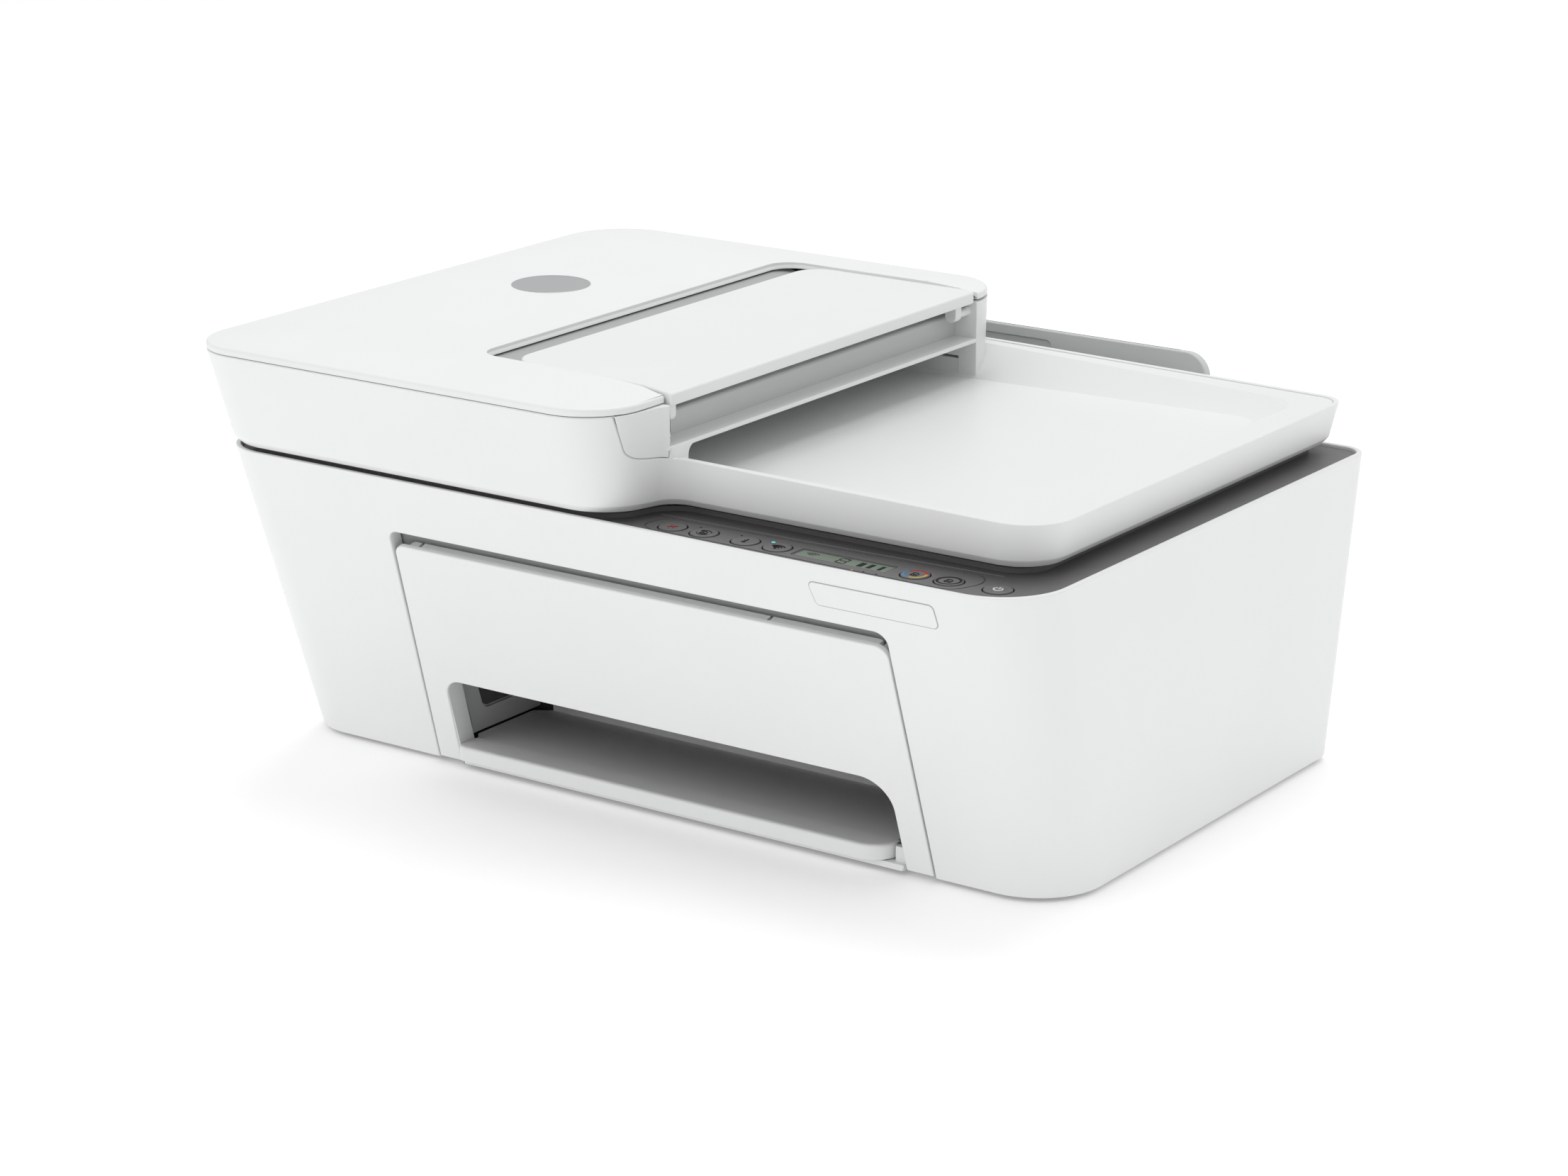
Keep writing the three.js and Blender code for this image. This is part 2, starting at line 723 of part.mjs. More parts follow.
// A box across the rear: closed below, with two cheeks beside the paper mouth above.
function rearHousing() {
  const { left, right, rear, bottom, top } = HOUSING;
  const outer = block(left, right, rearY(top) + GAP, rear, bottom, top);
  const mouth = block(left + 4.5, right - 4.5, 130, 160, 98, top + 5);
  const hollow = block(left + WALL, right - WALL, 130, rear - WALL, bottom + WALL, 98 - WALL);
  return cut(outer, mouth, hollow);
}

const rearTrayFrame = new THREE.Group();
rearTrayFrame.position.set(0, REAR_TRAY.y, REAR_TRAY.z);
rearTrayFrame.rotation.x = -REAR_TRAY_LEAN;
printer.add(rearTrayFrame);

// In the tray's own frame, Y is back through the tray and Z is up its face.
function inputTray() {
  const { left, right, height, thickness } = REAR_TRAY;
  const outline = rounded([
    [left, 0],
    [right, 0],
    [right, height, 12],
    [left, height, 12],
  ]);
  const pocket = rounded(rectangle(left + 18, right - 16, 8, height + 4, 3));
  const grip = rounded(rectangle(-62, 40, height - 12, height - 5, 3));
  return cut(
    backwards(outline, 0, thickness),
    backwards(pocket, 1.8, thickness - 1.2),
    backwards(grip, -1, 1.2),
  );
}

function inputTrayExtension() {
  const { left, right, height } = REAR_TRAY;
  const outline = rounded(rectangle(left + 19, right - 17, 9, height - 1.5, 3));
  return backwards(outline, 2.2, 3.9);
}

const GUIDE_X = 108;

function paperGuide(side) {
  const x = side * GUIDE_X;
  return block(x - 1.2, x + 1.2, rearY(140) + 1.4, HOUSING.rear - 0.6, 98.4, 147);
}

// ---------------------------------------------------------------- the scanner
// A shallow tray under the glass, with a moulded rail along its floor.
function scannerTub() {
  const tub = block(-204, 186, -100, 127, 121.8, 141.2);
  const hollow = block(-201.5, 183.5, -97.5, 124.5, 123.8, 150);
  const { y, half, top } = SCAN_RAIL;
  return join(cut(tub, hollow), block(-202, 184, y - half, y + half, 123, top));
}

function scanHead() {
  const bed = block(-189, -160, -93, 121, 126, 141.4);
  const { y, half, top } = SCAN_RAIL;
  const channel = block(-195, -150, y - half - GAP, y + half + GAP, 120, top + GAP);
  const lightSlot = block(-178, -171, -88, 116, 137, 145);
  return cut(bed, channel, lightSlot);
}

function controlBoard() {
  return block(24, 196, -138.4, -122, 137, 138.6);
}

function hingeArm(x) {
  const top = LID_AXIS.z + 3.4;
  const shape = rounded([
    [rearY(150) + 1.2, 118],
    [LID_AXIS.y + 3.4, 118],
    [LID_AXIS.y + 3.4, top, 3],
    [LID_AXIS.y - 3.2, top, 3],
    [LID_AXIS.y - 3.2, 150],
    [rearY(150) + 1.2, 146],
  ]);
  const bore = bar("x", 2 + GAP, x - 10, x + 10, LID_AXIS.y, LID_AXIS.z);
  return cut(along(shape, x - 4, x + 4), bore);
}

// ---------------------------------------------------------------- the lid
const HINGE_X = [-168, 152];

// Everything over the lid's tray, to the right of the feeder.
function aboveLidRim() {
  const slab = block(0, 230, -200, 200, 0, 60);
  slab.rotateY(LID_TOP_FALL).translate(FEEDER_END, 0, LID_TOP);
  return slab;
}

function scannerLid() {
  const lip = stack([
    [LID_BOTTOM, lidCorners(LID_BOTTOM, 2.4)],
    [LID_BOTTOM + LID_LIP, lidCorners(LID_BOTTOM + LID_LIP)],
    [FEEDER_TOP, lidCorners(FEEDER_TOP)],
  ]);
  const floor = LID_BOTTOM + WALL;
  const hollow = stack([
    [floor, lidCorners(floor, WALL + LID_LIP / 2)],
    [floor + LID_LIP / 2, lidCorners(floor + LID_LIP / 2, WALL)],
    [FEEDER_TOP + 2, lidCorners(FEEDER_TOP + 2, WALL)],
  ]);
  const knuckles = HINGE_X.flatMap((x) => [
    block(x - 9.4, x - 4.6, LID_REAR + 1, LID_AXIS.y + 2.6, LID_AXIS.z - 3.2, LID_AXIS.z + 3.2),
    block(x + 4.6, x + 9.4, LID_REAR + 1, LID_AXIS.y + 2.6, LID_AXIS.z - 3.2, LID_AXIS.z + 3.2),
  ]);
  const pins = HINGE_X.map((x) => bar("x", 2, x - 6, x + 6, LID_AXIS.y, LID_AXIS.z, 16));
  return join(cut(lip, hollow, aboveLidRim(), endCapRoom()), ...knuckles, ...pins);
}

function lidPad() {
  const corners = rectangle(GLASS.left + 2, GLASS.right + 30, GLASS.front + 2, GLASS.rear - 2, 4);
  return stack([
    [DECK_RAISED + 0.5, corners],
    [LID_BOTTOM - 0.3, corners],
  ]);
}

// The tray that copied sheets slide out on: a shallow dish inside the lid's walls.
function stackTray() {
  const inside = stack([
    [153.6, lidCorners(153.6, WALL + GAP)],
    [172, lidCorners(172, WALL + GAP)],
  ]);
  const kept = block(-78, 230, -200, 200, 150, 180);
  const dishLevel = (z, right, front, rear) => {
    return [z, [[right, front, 20], [right, rear, 14], [-90, rear], [-90, front]]];
  };
  const dish = stack([
    dishLevel(156.2, 182, -106, 117),
    dishLevel(160.6, 194, -112.5, 124),
    dishLevel(176, 208, -116.4, 144),
  ]);
  dish.rotateY(-DISH_RISE);
  const top = block(-90, 230, -200, 200, 0, 60);
  top.rotateY(LID_TOP_FALL).translate(FEEDER_END, 0, LID_TOP - 0.6);
  return cut(common(inside, kept), dish, top, block(-90, FEEDER_END + 1, -200, 200, 166, 180));
}

// ---------------------------------------------------------------- the document feeder
// The end cap fills the feeder's front right corner above the lid's rim.
const END_CAP = { left: 17, right: FEEDER_END, bottom: 170.6, top: FEEDER_TOP, radius: 7 };

function endCapRoom() {
  const room = rounded([
    [END_CAP.left, END_CAP.bottom, END_CAP.radius],
    [60, END_CAP.bottom],
    [60, 200],
    [END_CAP.left, 200],
  ]);
  return backwards(room, -170, -110);
}

// The plates at the feeder's front and rear, which hold the ends of its rollers.
const FEEDER_PLATE = { front: -125, rear: 122, thickness: 3 };

function feederPlate(y) {
  const side = new THREE.Shape();
  side.moveTo(-152, 158);
  side.lineTo(-100, 158);
  side.lineTo(-90, 173.8);
  side.lineTo(END_CAP.left + 1, 173.8);
  side.lineTo(END_CAP.left + 1, 192.6);
  side.lineTo(-152, 192.6);
  side.closePath();
  return backwards(side, y, y + FEEDER_PLATE.thickness);
}

function rollerAxis({ angle, teeth }) {
  const distance = ((FEEDER_DRIVE.teeth + teeth) * GEAR_MODULE) / 2;
  return {
    x: FEEDER_DRIVE.x + distance * Math.cos(angle),
    z: FEEDER_DRIVE.z + distance * Math.sin(angle),
  };
}

// The wall at the rear of the stacking space. It stands just clear of the dish.
function rearWall() {
  const side = new THREE.Shape();
  side.moveTo(118.6, 160);
  side.lineTo(121, 161.8);
  side.lineTo(128.4, 168.6);
  side.lineTo(128.4, 193);
  side.lineTo(118.6, 193);
  side.closePath();
  const leg = along(side, 15, END_CAP.right);
  return join(leg, block(-60, 16, 118.6, 128.4, 167, 193));
}

function feederFrame() {
  const wall = stack([
    [END_CAP.bottom + GAP, lidCorners(END_CAP.bottom + GAP)],
    [END_CAP.top, lidCorners(END_CAP.top)],
  ]);
  const capRoom = rounded([
    [END_CAP.left + GAP, END_CAP.bottom + GAP, END_CAP.radius],
    [END_CAP.right, END_CAP.bottom + GAP],
    [END_CAP.right, 200],
    [END_CAP.left + GAP, 200],
  ]);
  const cap = common(wall, backwards(capRoom, -170, -122));
  const shelf = block(-80, END_CAP.right, -124, 120, 173.8, 175.8);
  const upright = block(11, 13, -124, 120, 175, 186.6);
  const ramp = new THREE.Shape();
  ramp.moveTo(13, 184.6);
  ramp.lineTo(13, 186.6);
  ramp.lineTo(-60, 190.4);
  ramp.lineTo(-96, 186.6);
  ramp.lineTo(-96, 184.4);
  ramp.lineTo(-60, 188.2);
  ramp.closePath();
  const pinHoles = bar("y", 2 + GAP, -130, 130, PANEL_AXIS.x, PANEL_AXIS.z);
  const shaftHoles = [FEEDER_DRIVE, rollerAxis(FEEDER_PICK), rollerAxis(FEEDER_EXIT)].map(({ x, z }) => {
    return bar("y", FEEDER_SHAFT + GAP, -130, 130, x, z);
  });
  const plates = [FEEDER_PLATE.front, FEEDER_PLATE.rear].map(feederPlate);
  const frame = join(cap, shelf, upright, rearWall(), backwards(ramp, -112, 112), ...plates);
  return cut(frame, pinHoles, ...shaftHoles);
}

const COVER = { top: 197.6, crown: 200, notchLeft: -85 };

function feederCover() {
  const seam = FEEDER_TOP + GAP;
  const outline = (inset) => {
    const corners = lidCorners(FEEDER_TOP, inset);
    const [left, front] = corners[0];
    const rear = corners.at(-1)[1];
    return [
      [left, front, 27],
      [FEEDER_END - inset - 4, front, 28],
      [FEEDER_END - inset, rear, 10],
      [left, rear, 32],
    ];
  };
  const slab = stack([
    [seam, outline(0)],
    [COVER.top - 0.8, outline(-0.1)],
    [COVER.top, outline(0.8)],
    [199.2, outline(12)],
    [COVER.crown, outline(42)],
  ], 4);
  const underside = stack([
    [seam - 1, outline(3)],
    [196.6, outline(4)],
  ]);
  return cut(slab, underside, panelOpening());
}

// The notch in the cover that the feeder panel and its finger strip fill.
function panelOpening() {
  return rise(rounded([
    [COVER.notchLeft, -113, 10],
    [8, -116.8, 8],
    [40, -128.2],
    [40, 128],
    [8, 119, 8],
    [COVER.notchLeft, 119, 12],
  ]), 180, 210);
}

function feederPanel() {
  const outline = (inset) => [
    [-69.5 + inset, -112 + inset, 14],
    [6, -115.2 + inset, 10],
    [FEEDER_END - inset, -121.4 + inset],
    [FEEDER_END - inset, 118 - inset, 4],
    [-69.5 + inset, 118 - inset, 14],
  ];
  const slab = stack([
    [193.2, outline(0)],
    [197.8, outline(0)],
    [198.6, outline(0.9)],
  ], 4);
  const hollow = stack([
    [192, outline(2.4)],
    [196.4, outline(2.4)],
  ]);
  const lugs = [
    [-119.6, -114.6],
    [104, 109],
  ].map(([y0, y1]) => {
    const knuckle = bar("y", 3, y0, y1, PANEL_AXIS.x, PANEL_AXIS.z);
    return join(knuckle, block(PANEL_AXIS.x - 3, PANEL_AXIS.x + 3, y0, y1, PANEL_AXIS.z, 197));
  });
  const pins = [
    bar("y", 2, -127, -117, PANEL_AXIS.x, PANEL_AXIS.z),
    bar("y", 2, 106, 120, PANEL_AXIS.x, PANEL_AXIS.z),
  ];
  return join(cut(slab, hollow), ...lugs, ...pins);
}

function documentGuide(y) {
  return block(-58, -14, y - 1, y + 1, 191.8, 196);
}

// A roller along Y with a gear at each place in gears, a list of [y, turn].
function feederRoller(x, z, radius, teeth, gears) {
  const shaft = bar("y", FEEDER_SHAFT, -124.6, 124.6, x, z);
  const sleeves = evenSleeves(-70, 70, 2, 36).map(([y0, y1]) => bar("y", radius, y0, y1, x, z));
  const wheels = gears.map(([y, turn]) => {
    return backwards(gearShape(teeth, GEAR_MODULE, turn), y - 2, y + 2).translate(x, 0, z);
  });
  return join(shaft, ...sleeves, ...wheels);
}

// The driving roller has a tooth pointing at each roller that it turns, and they have a gap there.
const GEAR_Y = { pick: -119, exit: 119 };

function driveRoller() {
  const { x, z, radius, teeth } = FEEDER_DRIVE;
  const toothAt = (angle) => (angle * teeth) / (2 * Math.PI);
  const gears = [
    [GEAR_Y.pick, toothAt(FEEDER_PICK.angle)],
    [GEAR_Y.exit, toothAt(FEEDER_EXIT.angle)],
  ];
  return feederRoller(x, z, radius, teeth, gears);
}

function drivenRoller({ radius, teeth, angle }, gearY) {
  const { x, z } = rollerAxis({ angle, teeth });
  const gapAt = ((angle + Math.PI) * teeth) / (2 * Math.PI) + 0.5;
  return feederRoller(x, z, radius, teeth, [[gearY, gapAt]]);
}

// ---------------------------------------------------------------- putting it together
piece("base_shell", baseShell(), WHITE());
piece("bottom_pan", bottomPan(), GRAY());
[
  ["foot_front_left", -168, -72],
  ["foot_front_right", 170, -72],
  ["foot_rear_left", -168, 108],
  ["foot_rear_right", 170, 108],
].forEach(([name, x, y]) => piece(name, foot(x, y), BLACK_RUBBER()));
piece("scanner_deck", scannerDeck(), GRAY());
piece("scanner_glass", scannerGlass(), plastic(0xcfe0dc, 0.05));
Object.entries(BUTTONS).forEach(([name, x]) => piece(name, button(x, buttonY(name)), GRAY()));
piece("display", rise(displayShape(0), 143.6, 144.5), plastic(0x7d8f80, 0.2));
piece("cartridge_door", cartridgeDoor(), WHITE());
piece("output_tray", outputTray(), GRAY());
piece("tray_extender", trayExtender(), WHITE());
piece("chassis", chassis(), DARK());
piece("platen", platen(), DARK());
piece("carriage_rod", carriageRod(), STEEL());
piece("carriage", carriage(), DARK());
["colour_cartridge", "black_cartridge"].forEach((name, bay) => {
  piece(name, inkCartridge(bay), plastic(0x202124, 0.4));
});
["colour_latch", "black_latch"].forEach((name, bay) => piece(name, cartridgeLatch(bay), PALE_GRAY()));
piece("motor_pulley", pulley(PULLEY.right), STEEL());
piece("idler_pulley", pulley(PULLEY.left), PALE_GRAY());
piece("drive_belt", driveBelt(), BLACK_RUBBER());
piece("carriage_motor", carriageMotor(), STEEL());
piece("feed_roller", feedRoller(), STEEL());
piece("exit_roller", roller(EXIT_AXIS, -174, 204, 2.6, 5, evenSleeves(-100, 104, 4, 12)), DARK());
piece("pick_roller", roller(PICK_AXIS, -174, 204, 2.6, 12, [[-22, 22]]), BLACK_RUBBER());
piece("paper_motor", paperMotor(), STEEL());
piece("paper_pinion", paperPinion(), PALE_GRAY());
piece("service_station", serviceStation(), PALE_GRAY());
piece("main_board", mainBoard(), BOARD());
piece("power_supply", powerSupply(), DARK());
piece("rear_housing", rearHousing(), GRAY());
piece("input_tray", inputTray(), GRAY(), rearTrayFrame);
piece("input_tray_extension", inputTrayExtension(), GRAY(), rearTrayFrame);
piece("paper_guide_left", paperGuide(-1), GRAY());
piece("paper_guide_right", paperGuide(1), GRAY());
piece("scanner_tub", scannerTub(), DARK());
piece("scan_head", scanHead(), DARK());
piece("control_board", controlBoard(), BOARD());
HINGE_X.forEach((x, i) => piece(i === 0 ? "lid_hinge_left" : "lid_hinge_right", hingeArm(x), GRAY()));
piece("scanner_lid", scannerLid(), WHITE());
piece("lid_pad", lidPad(), plastic(0xf4f5f5, 0.9));
piece("stack_tray", stackTray(), WHITE());
piece("feeder_frame", feederFrame(), PALE_GRAY());
piece("feeder_cover", feederCover(), WHITE());
piece("feeder_panel", feederPanel(), WHITE());
piece("feeder_drive_roller", driveRoller(), BLACK_RUBBER());
piece("feeder_pick_roller", drivenRoller(FEEDER_PICK, GEAR_Y.pick), BLACK_RUBBER());
piece("feeder_exit_roller", drivenRoller(FEEDER_EXIT, GEAR_Y.exit), BLACK_RUBBER());
piece("document_guide_front", documentGuide(-106), PALE_GRAY());
piece("document_guide_rear", documentGuide(112), PALE_GRAY());

export default printer;
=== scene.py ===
"""The looks of an all-in-one inkjet printer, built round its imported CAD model.

Outlines and sizes are in millimetres. Every mesh is scaled to metres as it is made.
"""

import math

import bmesh
import bpy
from mathutils import Matrix, Vector


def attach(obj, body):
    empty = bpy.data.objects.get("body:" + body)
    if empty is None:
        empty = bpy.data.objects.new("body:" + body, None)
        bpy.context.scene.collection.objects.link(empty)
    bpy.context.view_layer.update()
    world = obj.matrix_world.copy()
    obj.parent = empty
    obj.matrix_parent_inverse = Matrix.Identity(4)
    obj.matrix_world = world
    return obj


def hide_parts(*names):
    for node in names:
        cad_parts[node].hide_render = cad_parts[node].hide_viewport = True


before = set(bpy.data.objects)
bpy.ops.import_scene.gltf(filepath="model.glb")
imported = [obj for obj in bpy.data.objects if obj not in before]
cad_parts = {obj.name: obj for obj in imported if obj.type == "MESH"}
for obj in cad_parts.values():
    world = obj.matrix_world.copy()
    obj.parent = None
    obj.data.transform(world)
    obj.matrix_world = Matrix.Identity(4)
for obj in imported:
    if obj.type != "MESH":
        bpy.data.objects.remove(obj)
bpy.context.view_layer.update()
MM = 0.001


# ---------------------------------------------------------------- sizes shared with the CAD
WALL = 2.5
CENTRE_X = 0.8
CASE_BOTTOM = 2.0
CASE_HALF_WIDTH = 208.2
CASE_FRONT = -102.4
CASE_REAR = 138.6
FRONT_LEAN = math.radians(18)
SIDE_SLOPE = 0.034
RIGHT_SLOPE = 0.063
REAR_SLOPE = 0.048
RIM_LEFT = 146.9
RIM_RIGHT = 146.0
DECK_TOP = 144.6
DECK_RAISED = 147.0
LID_BOTTOM = 148.9
LID_LIP = 3.3
LID_FRONT = -116.5
LID_RIGHT = 203.1
LID_REAR = 140.3
LID_SLOPE = 0.18
LID_AXIS_Y = 152.2
LID_AXIS_Z = 162.0
LID_TOP = 170.3
LID_TOP_FALL = 0.013
FEEDER_TOP = 193.9
FEEDER_END = 25.0
FEEDER_CORNER_Y = 119.6
# The door and its slot lie in the plane of the leaning front, measured from the case's bottom edge.
DOOR_LEFT = -122.2
DOOR_RIGHT = 146.4
DOOR_TOP_LEFT = -115.8
DOOR_TOP_RIGHT = 145
DOOR_TOP = 116.8
DOOR_GAP = 1.15
OPENING_TOP = 123.9
SLOT_LEFT = -109.6
SLOT_RIGHT = 132.9
SLOT_TOP_LEFT = -107
SLOT_TOP_RIGHT = 132.3
SLOT_TOP = 46.4
BUTTON_RADIUS = 6.1
PANEL_PIN = Vector((19.5, 0, 188.4))


def front_y(z):
    return CASE_FRONT - math.tan(FRONT_LEAN) * (z - CASE_BOTTOM)


def left_x(z):
    return CENTRE_X - CASE_HALF_WIDTH - SIDE_SLOPE * (z - CASE_BOTTOM)


def case_corners(z):
    """The lower case's outline at a height: corners (x, y, radius)."""
    left, front = left_x(z), front_y(z)
    right = CENTRE_X + CASE_HALF_WIDTH + RIGHT_SLOPE * (z - CASE_BOTTOM)
    rear = CASE_REAR + REAR_SLOPE * (z - CASE_BOTTOM)
    return [(left, front, 26), (right, front, 32), (right, rear, 12), (left, rear, 12)]


def lid_corners(z):
    """The lid's outline: full width under the feeder, then set back behind the controls."""
    above = z - LID_BOTTOM
    left, front = left_x(z), front_y(z)
    set_back = LID_FRONT - 0.1 * above
    right = LID_RIGHT + LID_SLOPE * above
    rear = LID_REAR + LID_SLOPE * above
    return [
        (left, front, 27),
        (12 + 0.13 * above, front, 28),
        (22 + 0.05 * above, set_back, 10),
        (right, set_back, 22),
        (right, rear, 12),
        (left, rear, 32),
    ]


# The leaning front as a frame of its own: u along X, v up the slope, n out of the face.
ON_FRONT = Matrix.Translation((0, CASE_FRONT, CASE_BOTTOM)) @ Matrix.Rotation(
    math.pi / 2 + FRONT_LEAN, 4, "X"
)
# A shape drawn in X and Z, with its depth running forwards.
FACING_FRONT = Matrix.Rotation(math.pi / 2, 4, "X")
# A shape drawn in Y and Z, with its depth running to the right.
FACING_RIGHT = Matrix(((0, 0, 1, 0), (1, 0, 0, 0), (0, 1, 0, 0), (0, 0, 0, 1)))


# ---------------------------------------------------------------- outlines
def rounded(corners, steps=10, between=0):
    """Points of a closed outline from corners (x, y, radius), with points between the corners."""
    points = []
    for i, (x, y, radius) in enumerate(corners):
        corner = Vector((x, y))
        back = (Vector(corners[i - 1][:2]) - corner).normalized()
        ahead = (Vector(corners[(i + 1) % len(corners)][:2]) - corner).normalized()
        if radius <= 0:
            points.append(corner)
            continue
        half = back.angle(ahead) / 2
        centre = corner + (back + ahead).normalized() * (radius / math.sin(half))
        start = corner + back * (radius / math.tan(half)) - centre
        end = corner + ahead * (radius / math.tan(half)) - centre
        first = math.atan2(start.y, start.x)
        turn = (math.atan2(end.y, end.x) - first + math.pi) % math.tau - math.pi
        for step in range(steps + 1):
            angle = first + turn * step / steps
            points.append(centre + Vector((math.cos(angle), math.sin(angle))) * radius)
    if not between:
        return points
    per_corner = len(points) // len(corners)
    spaced = []
    for i, point in enumerate(points):
        spaced.append(point)
        if i % per_corner == per_corner - 1:
            ahead = points[(i + 1) % len(points)]
            spaced += [point.lerp(ahead, (k + 1) / (between + 1)) for k in range(between)]
    return spaced


def rectangle(x0, x1, y0, y1, radius=0.0):
    return [(x0, y0, radius), (x1, y0, radius), (x1, y1, radius), (x0, y1, radius)]


def drawn_in(corners, distance):
    """The same outline drawn in by a distance. Outer radii shrink and inner ones grow."""
    result = []
    for i, (x, y, radius) in enumerate(corners):
        corner = Vector((x, y))
        before = (corner - Vector(corners[i - 1][:2])).normalized()
        after = (Vector(corners[(i + 1) % len(corners)][:2]) - corner).normalized()
        side = Vector((-before.y, before.x))
        next_side = Vector((-after.y, after.x))
        moved = corner + (side + next_side) * (distance / (1 + side.dot(next_side)))
        outer = before.cross(after) > 0
        fitted = max(radius - distance if outer else radius + distance, 0.02)
        result.append((moved.x, moved.y, fitted if radius > 0 else 0))
    return result


def quarter_round(radius, steps):
    """(distance short of the face, distance drawn in) along a rounded edge, up to the face."""
    angles = [math.pi / 2 * step / steps for step in range(steps + 1)]
    return [(radius * (1 - math.sin(a)), radius * (1 - math.cos(a))) for a in angles]


def soft_edges(low, high, low_round=0.4, high_round=0.4, steps=4):
    """(height, distance drawn in) from the low face to the high one, with rounded edges."""
    low_edge = [(low + short, drawn) for short, drawn in quarter_round(low_round, steps)]
    high_edge = [(high - short, drawn) for short, drawn in quarter_round(high_round, steps)]
    return low_edge[::-1] + high_edge


def circle(x, y, radius, count=48):
    turns = [math.tau * i / count for i in range(count)]
    return [Vector((x + radius * math.cos(a), y + radius * math.sin(a))) for a in turns]


def lifted(outline, z):
    """A flat outline as a ring of points at a height."""
    return [(p[0], p[1], z) for p in outline]


def bezier(points, count):
    """count + 1 points along one cubic curve."""
    a, b, c, d = [Vector(p) for p in points]
    curve = []
    for i in range(count + 1):
        t = i / count
        s = 1 - t
        curve.append(a * s**3 + b * (3 * s * s * t) + c * (3 * s * t * t) + d * t**3)
    return curve


def ribbon(path, thickness):
    """The closed outline of a wall that follows an open path, half to each side of it."""
    left, right = [], []
    for i, point in enumerate(path):
        ahead = path[min(i + 1, len(path) - 1)] - path[max(i - 1, 0)]
        side = Vector((-ahead.y, ahead.x)).normalized() * (thickness / 2)
        left.append(point + side)
        right.append(point - side)
    return right + left[::-1]


# ---------------------------------------------------------------- meshes
def new_object(name, mesh_data):
    mesh = bpy.data.meshes.new(name)
    mesh_data.to_mesh(mesh)
    mesh_data.free()
    thing = bpy.data.objects.new(name, mesh)
    bpy.context.scene.collection.objects.link(thing)
    return thing


def skin(name, rings, place=Matrix.Identity(4), loop=False):
    """A closed mesh over rings of points in millimetres. A loop joins its last ring to its first."""
    data = bmesh.new()
    rows = [[data.verts.new(place @ Vector(p) * MM) for p in ring] for ring in rings]
    pairs = list(zip(rows, rows[1:]))
    if loop:
        pairs.append((rows[-1], rows[0]))
    for low, high in pairs:
        for i in range(len(low)):
            j = (i + 1) % len(low)
            data.faces.new((low[i], low[j], high[j], high[i]))
    if not loop:
        data.faces.new(rows[0][::-1])
        data.faces.new(rows[-1])
    bmesh.ops.recalc_face_normals(data, faces=data.faces)
    return new_object(name, data)


def plate(name, corners, levels, place=Matrix.Identity(4), steps=10):
    """An outline run from one face to the other, with levels from soft_edges()."""
    rings = []
    for height, distance in levels:
        rings.append(lifted(rounded(drawn_in(corners, distance), steps), height))
    return skin(name, rings, place)


def prism(name, outline, low, high, place=Matrix.Identity(4)):
    """An outline of points run straight from one height to another."""
    return skin(name, [lifted(outline, low), lifted(outline, high)], place)


def turned(name, x, y, profile, count=48):
    """A round solid on an upright axis, from (radius, height) pairs."""
    return skin(name, [lifted(circle(x, y, radius, count), z) for radius, z in profile])


def settled(thing):
    """The object with its modifiers made part of its mesh."""
    bpy.context.view_layer.update()
    made = thing.evaluated_get(bpy.context.evaluated_depsgraph_get())
    mesh = bpy.data.meshes.new_from_object(made)
    old = thing.data
    thing.modifiers.clear()
    thing.data = mesh
    bpy.data.meshes.remove(old)
    return thing


def combine(thing, tools, operation):
    """Joins, cuts or intersects the object with others, which are used up."""
    for tool in tools:
        step = thing.modifiers.new("combine", "BOOLEAN")
        step.operation = operation
        step.solver = "MANIFOLD"
        step.object = tool
    settled(thing)
    for tool in tools:
        bpy.data.objects.remove(tool)
    return thing


def cut(thing, *tools):
    return combine(thing, tools, "DIFFERENCE")


def join(thing, *tools):
    return combine(thing, tools, "UNION")


def common(thing, *tools):
    return combine(thing, tools, "INTERSECT")


def soften(thing, width, angle=40, steps=3):
    """Rounds every edge that is sharper than the angle."""
    bevel = thing.modifiers.new("soft edges", "BEVEL")
    bevel.width = width * MM
    bevel.segments = steps
    bevel.limit_method = "ANGLE"
    bevel.angle_limit = math.radians(angle)
    bevel.use_clamp_overlap = False
    bevel.miter_outer = "MITER_ARC"
    return settled(thing)


def finished(thing, body, material, stands_for=(), crease=38):
    """Shades a piece, gives it its material, and sets it on its CAD body."""
    mesh = thing.data
    mesh.shade_smooth()
    mesh.set_sharp_from_angle(angle=math.radians(crease))
    normals = thing.modifiers.new("flat faces stay flat", "WEIGHTED_NORMAL")
    normals.keep_sharp = True
    mesh.materials.clear()
    mesh.materials.append(material)
    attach(thing, body)
    if stands_for:
        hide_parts(*stands_for)
    return thing


# ---------------------------------------------------------------- materials
def set_inputs(node, values):
    for socket, value in values.items():
        node.inputs[socket].default_value = value


def ramped(nodes, links, value, low, high):
    """A noise value, which is mostly between 0.3 and 0.7, spread between two others."""
    spread = nodes.new("ShaderNodeMapRange")
    set_inputs(spread, {"From Min": 0.3, "From Max": 0.7, "To Min": low, "To Max": high})
    links.new(value, spread.inputs["Value"])
    return spread.outputs["Result"]


def noise(nodes, links, place, scale, detail=3.0):
    texture = nodes.new("ShaderNodeTexNoise")
    set_inputs(texture, {"Scale": scale, "Detail": detail})
    links.new(place, texture.inputs["Vector"])
    return texture.outputs["Fac"]


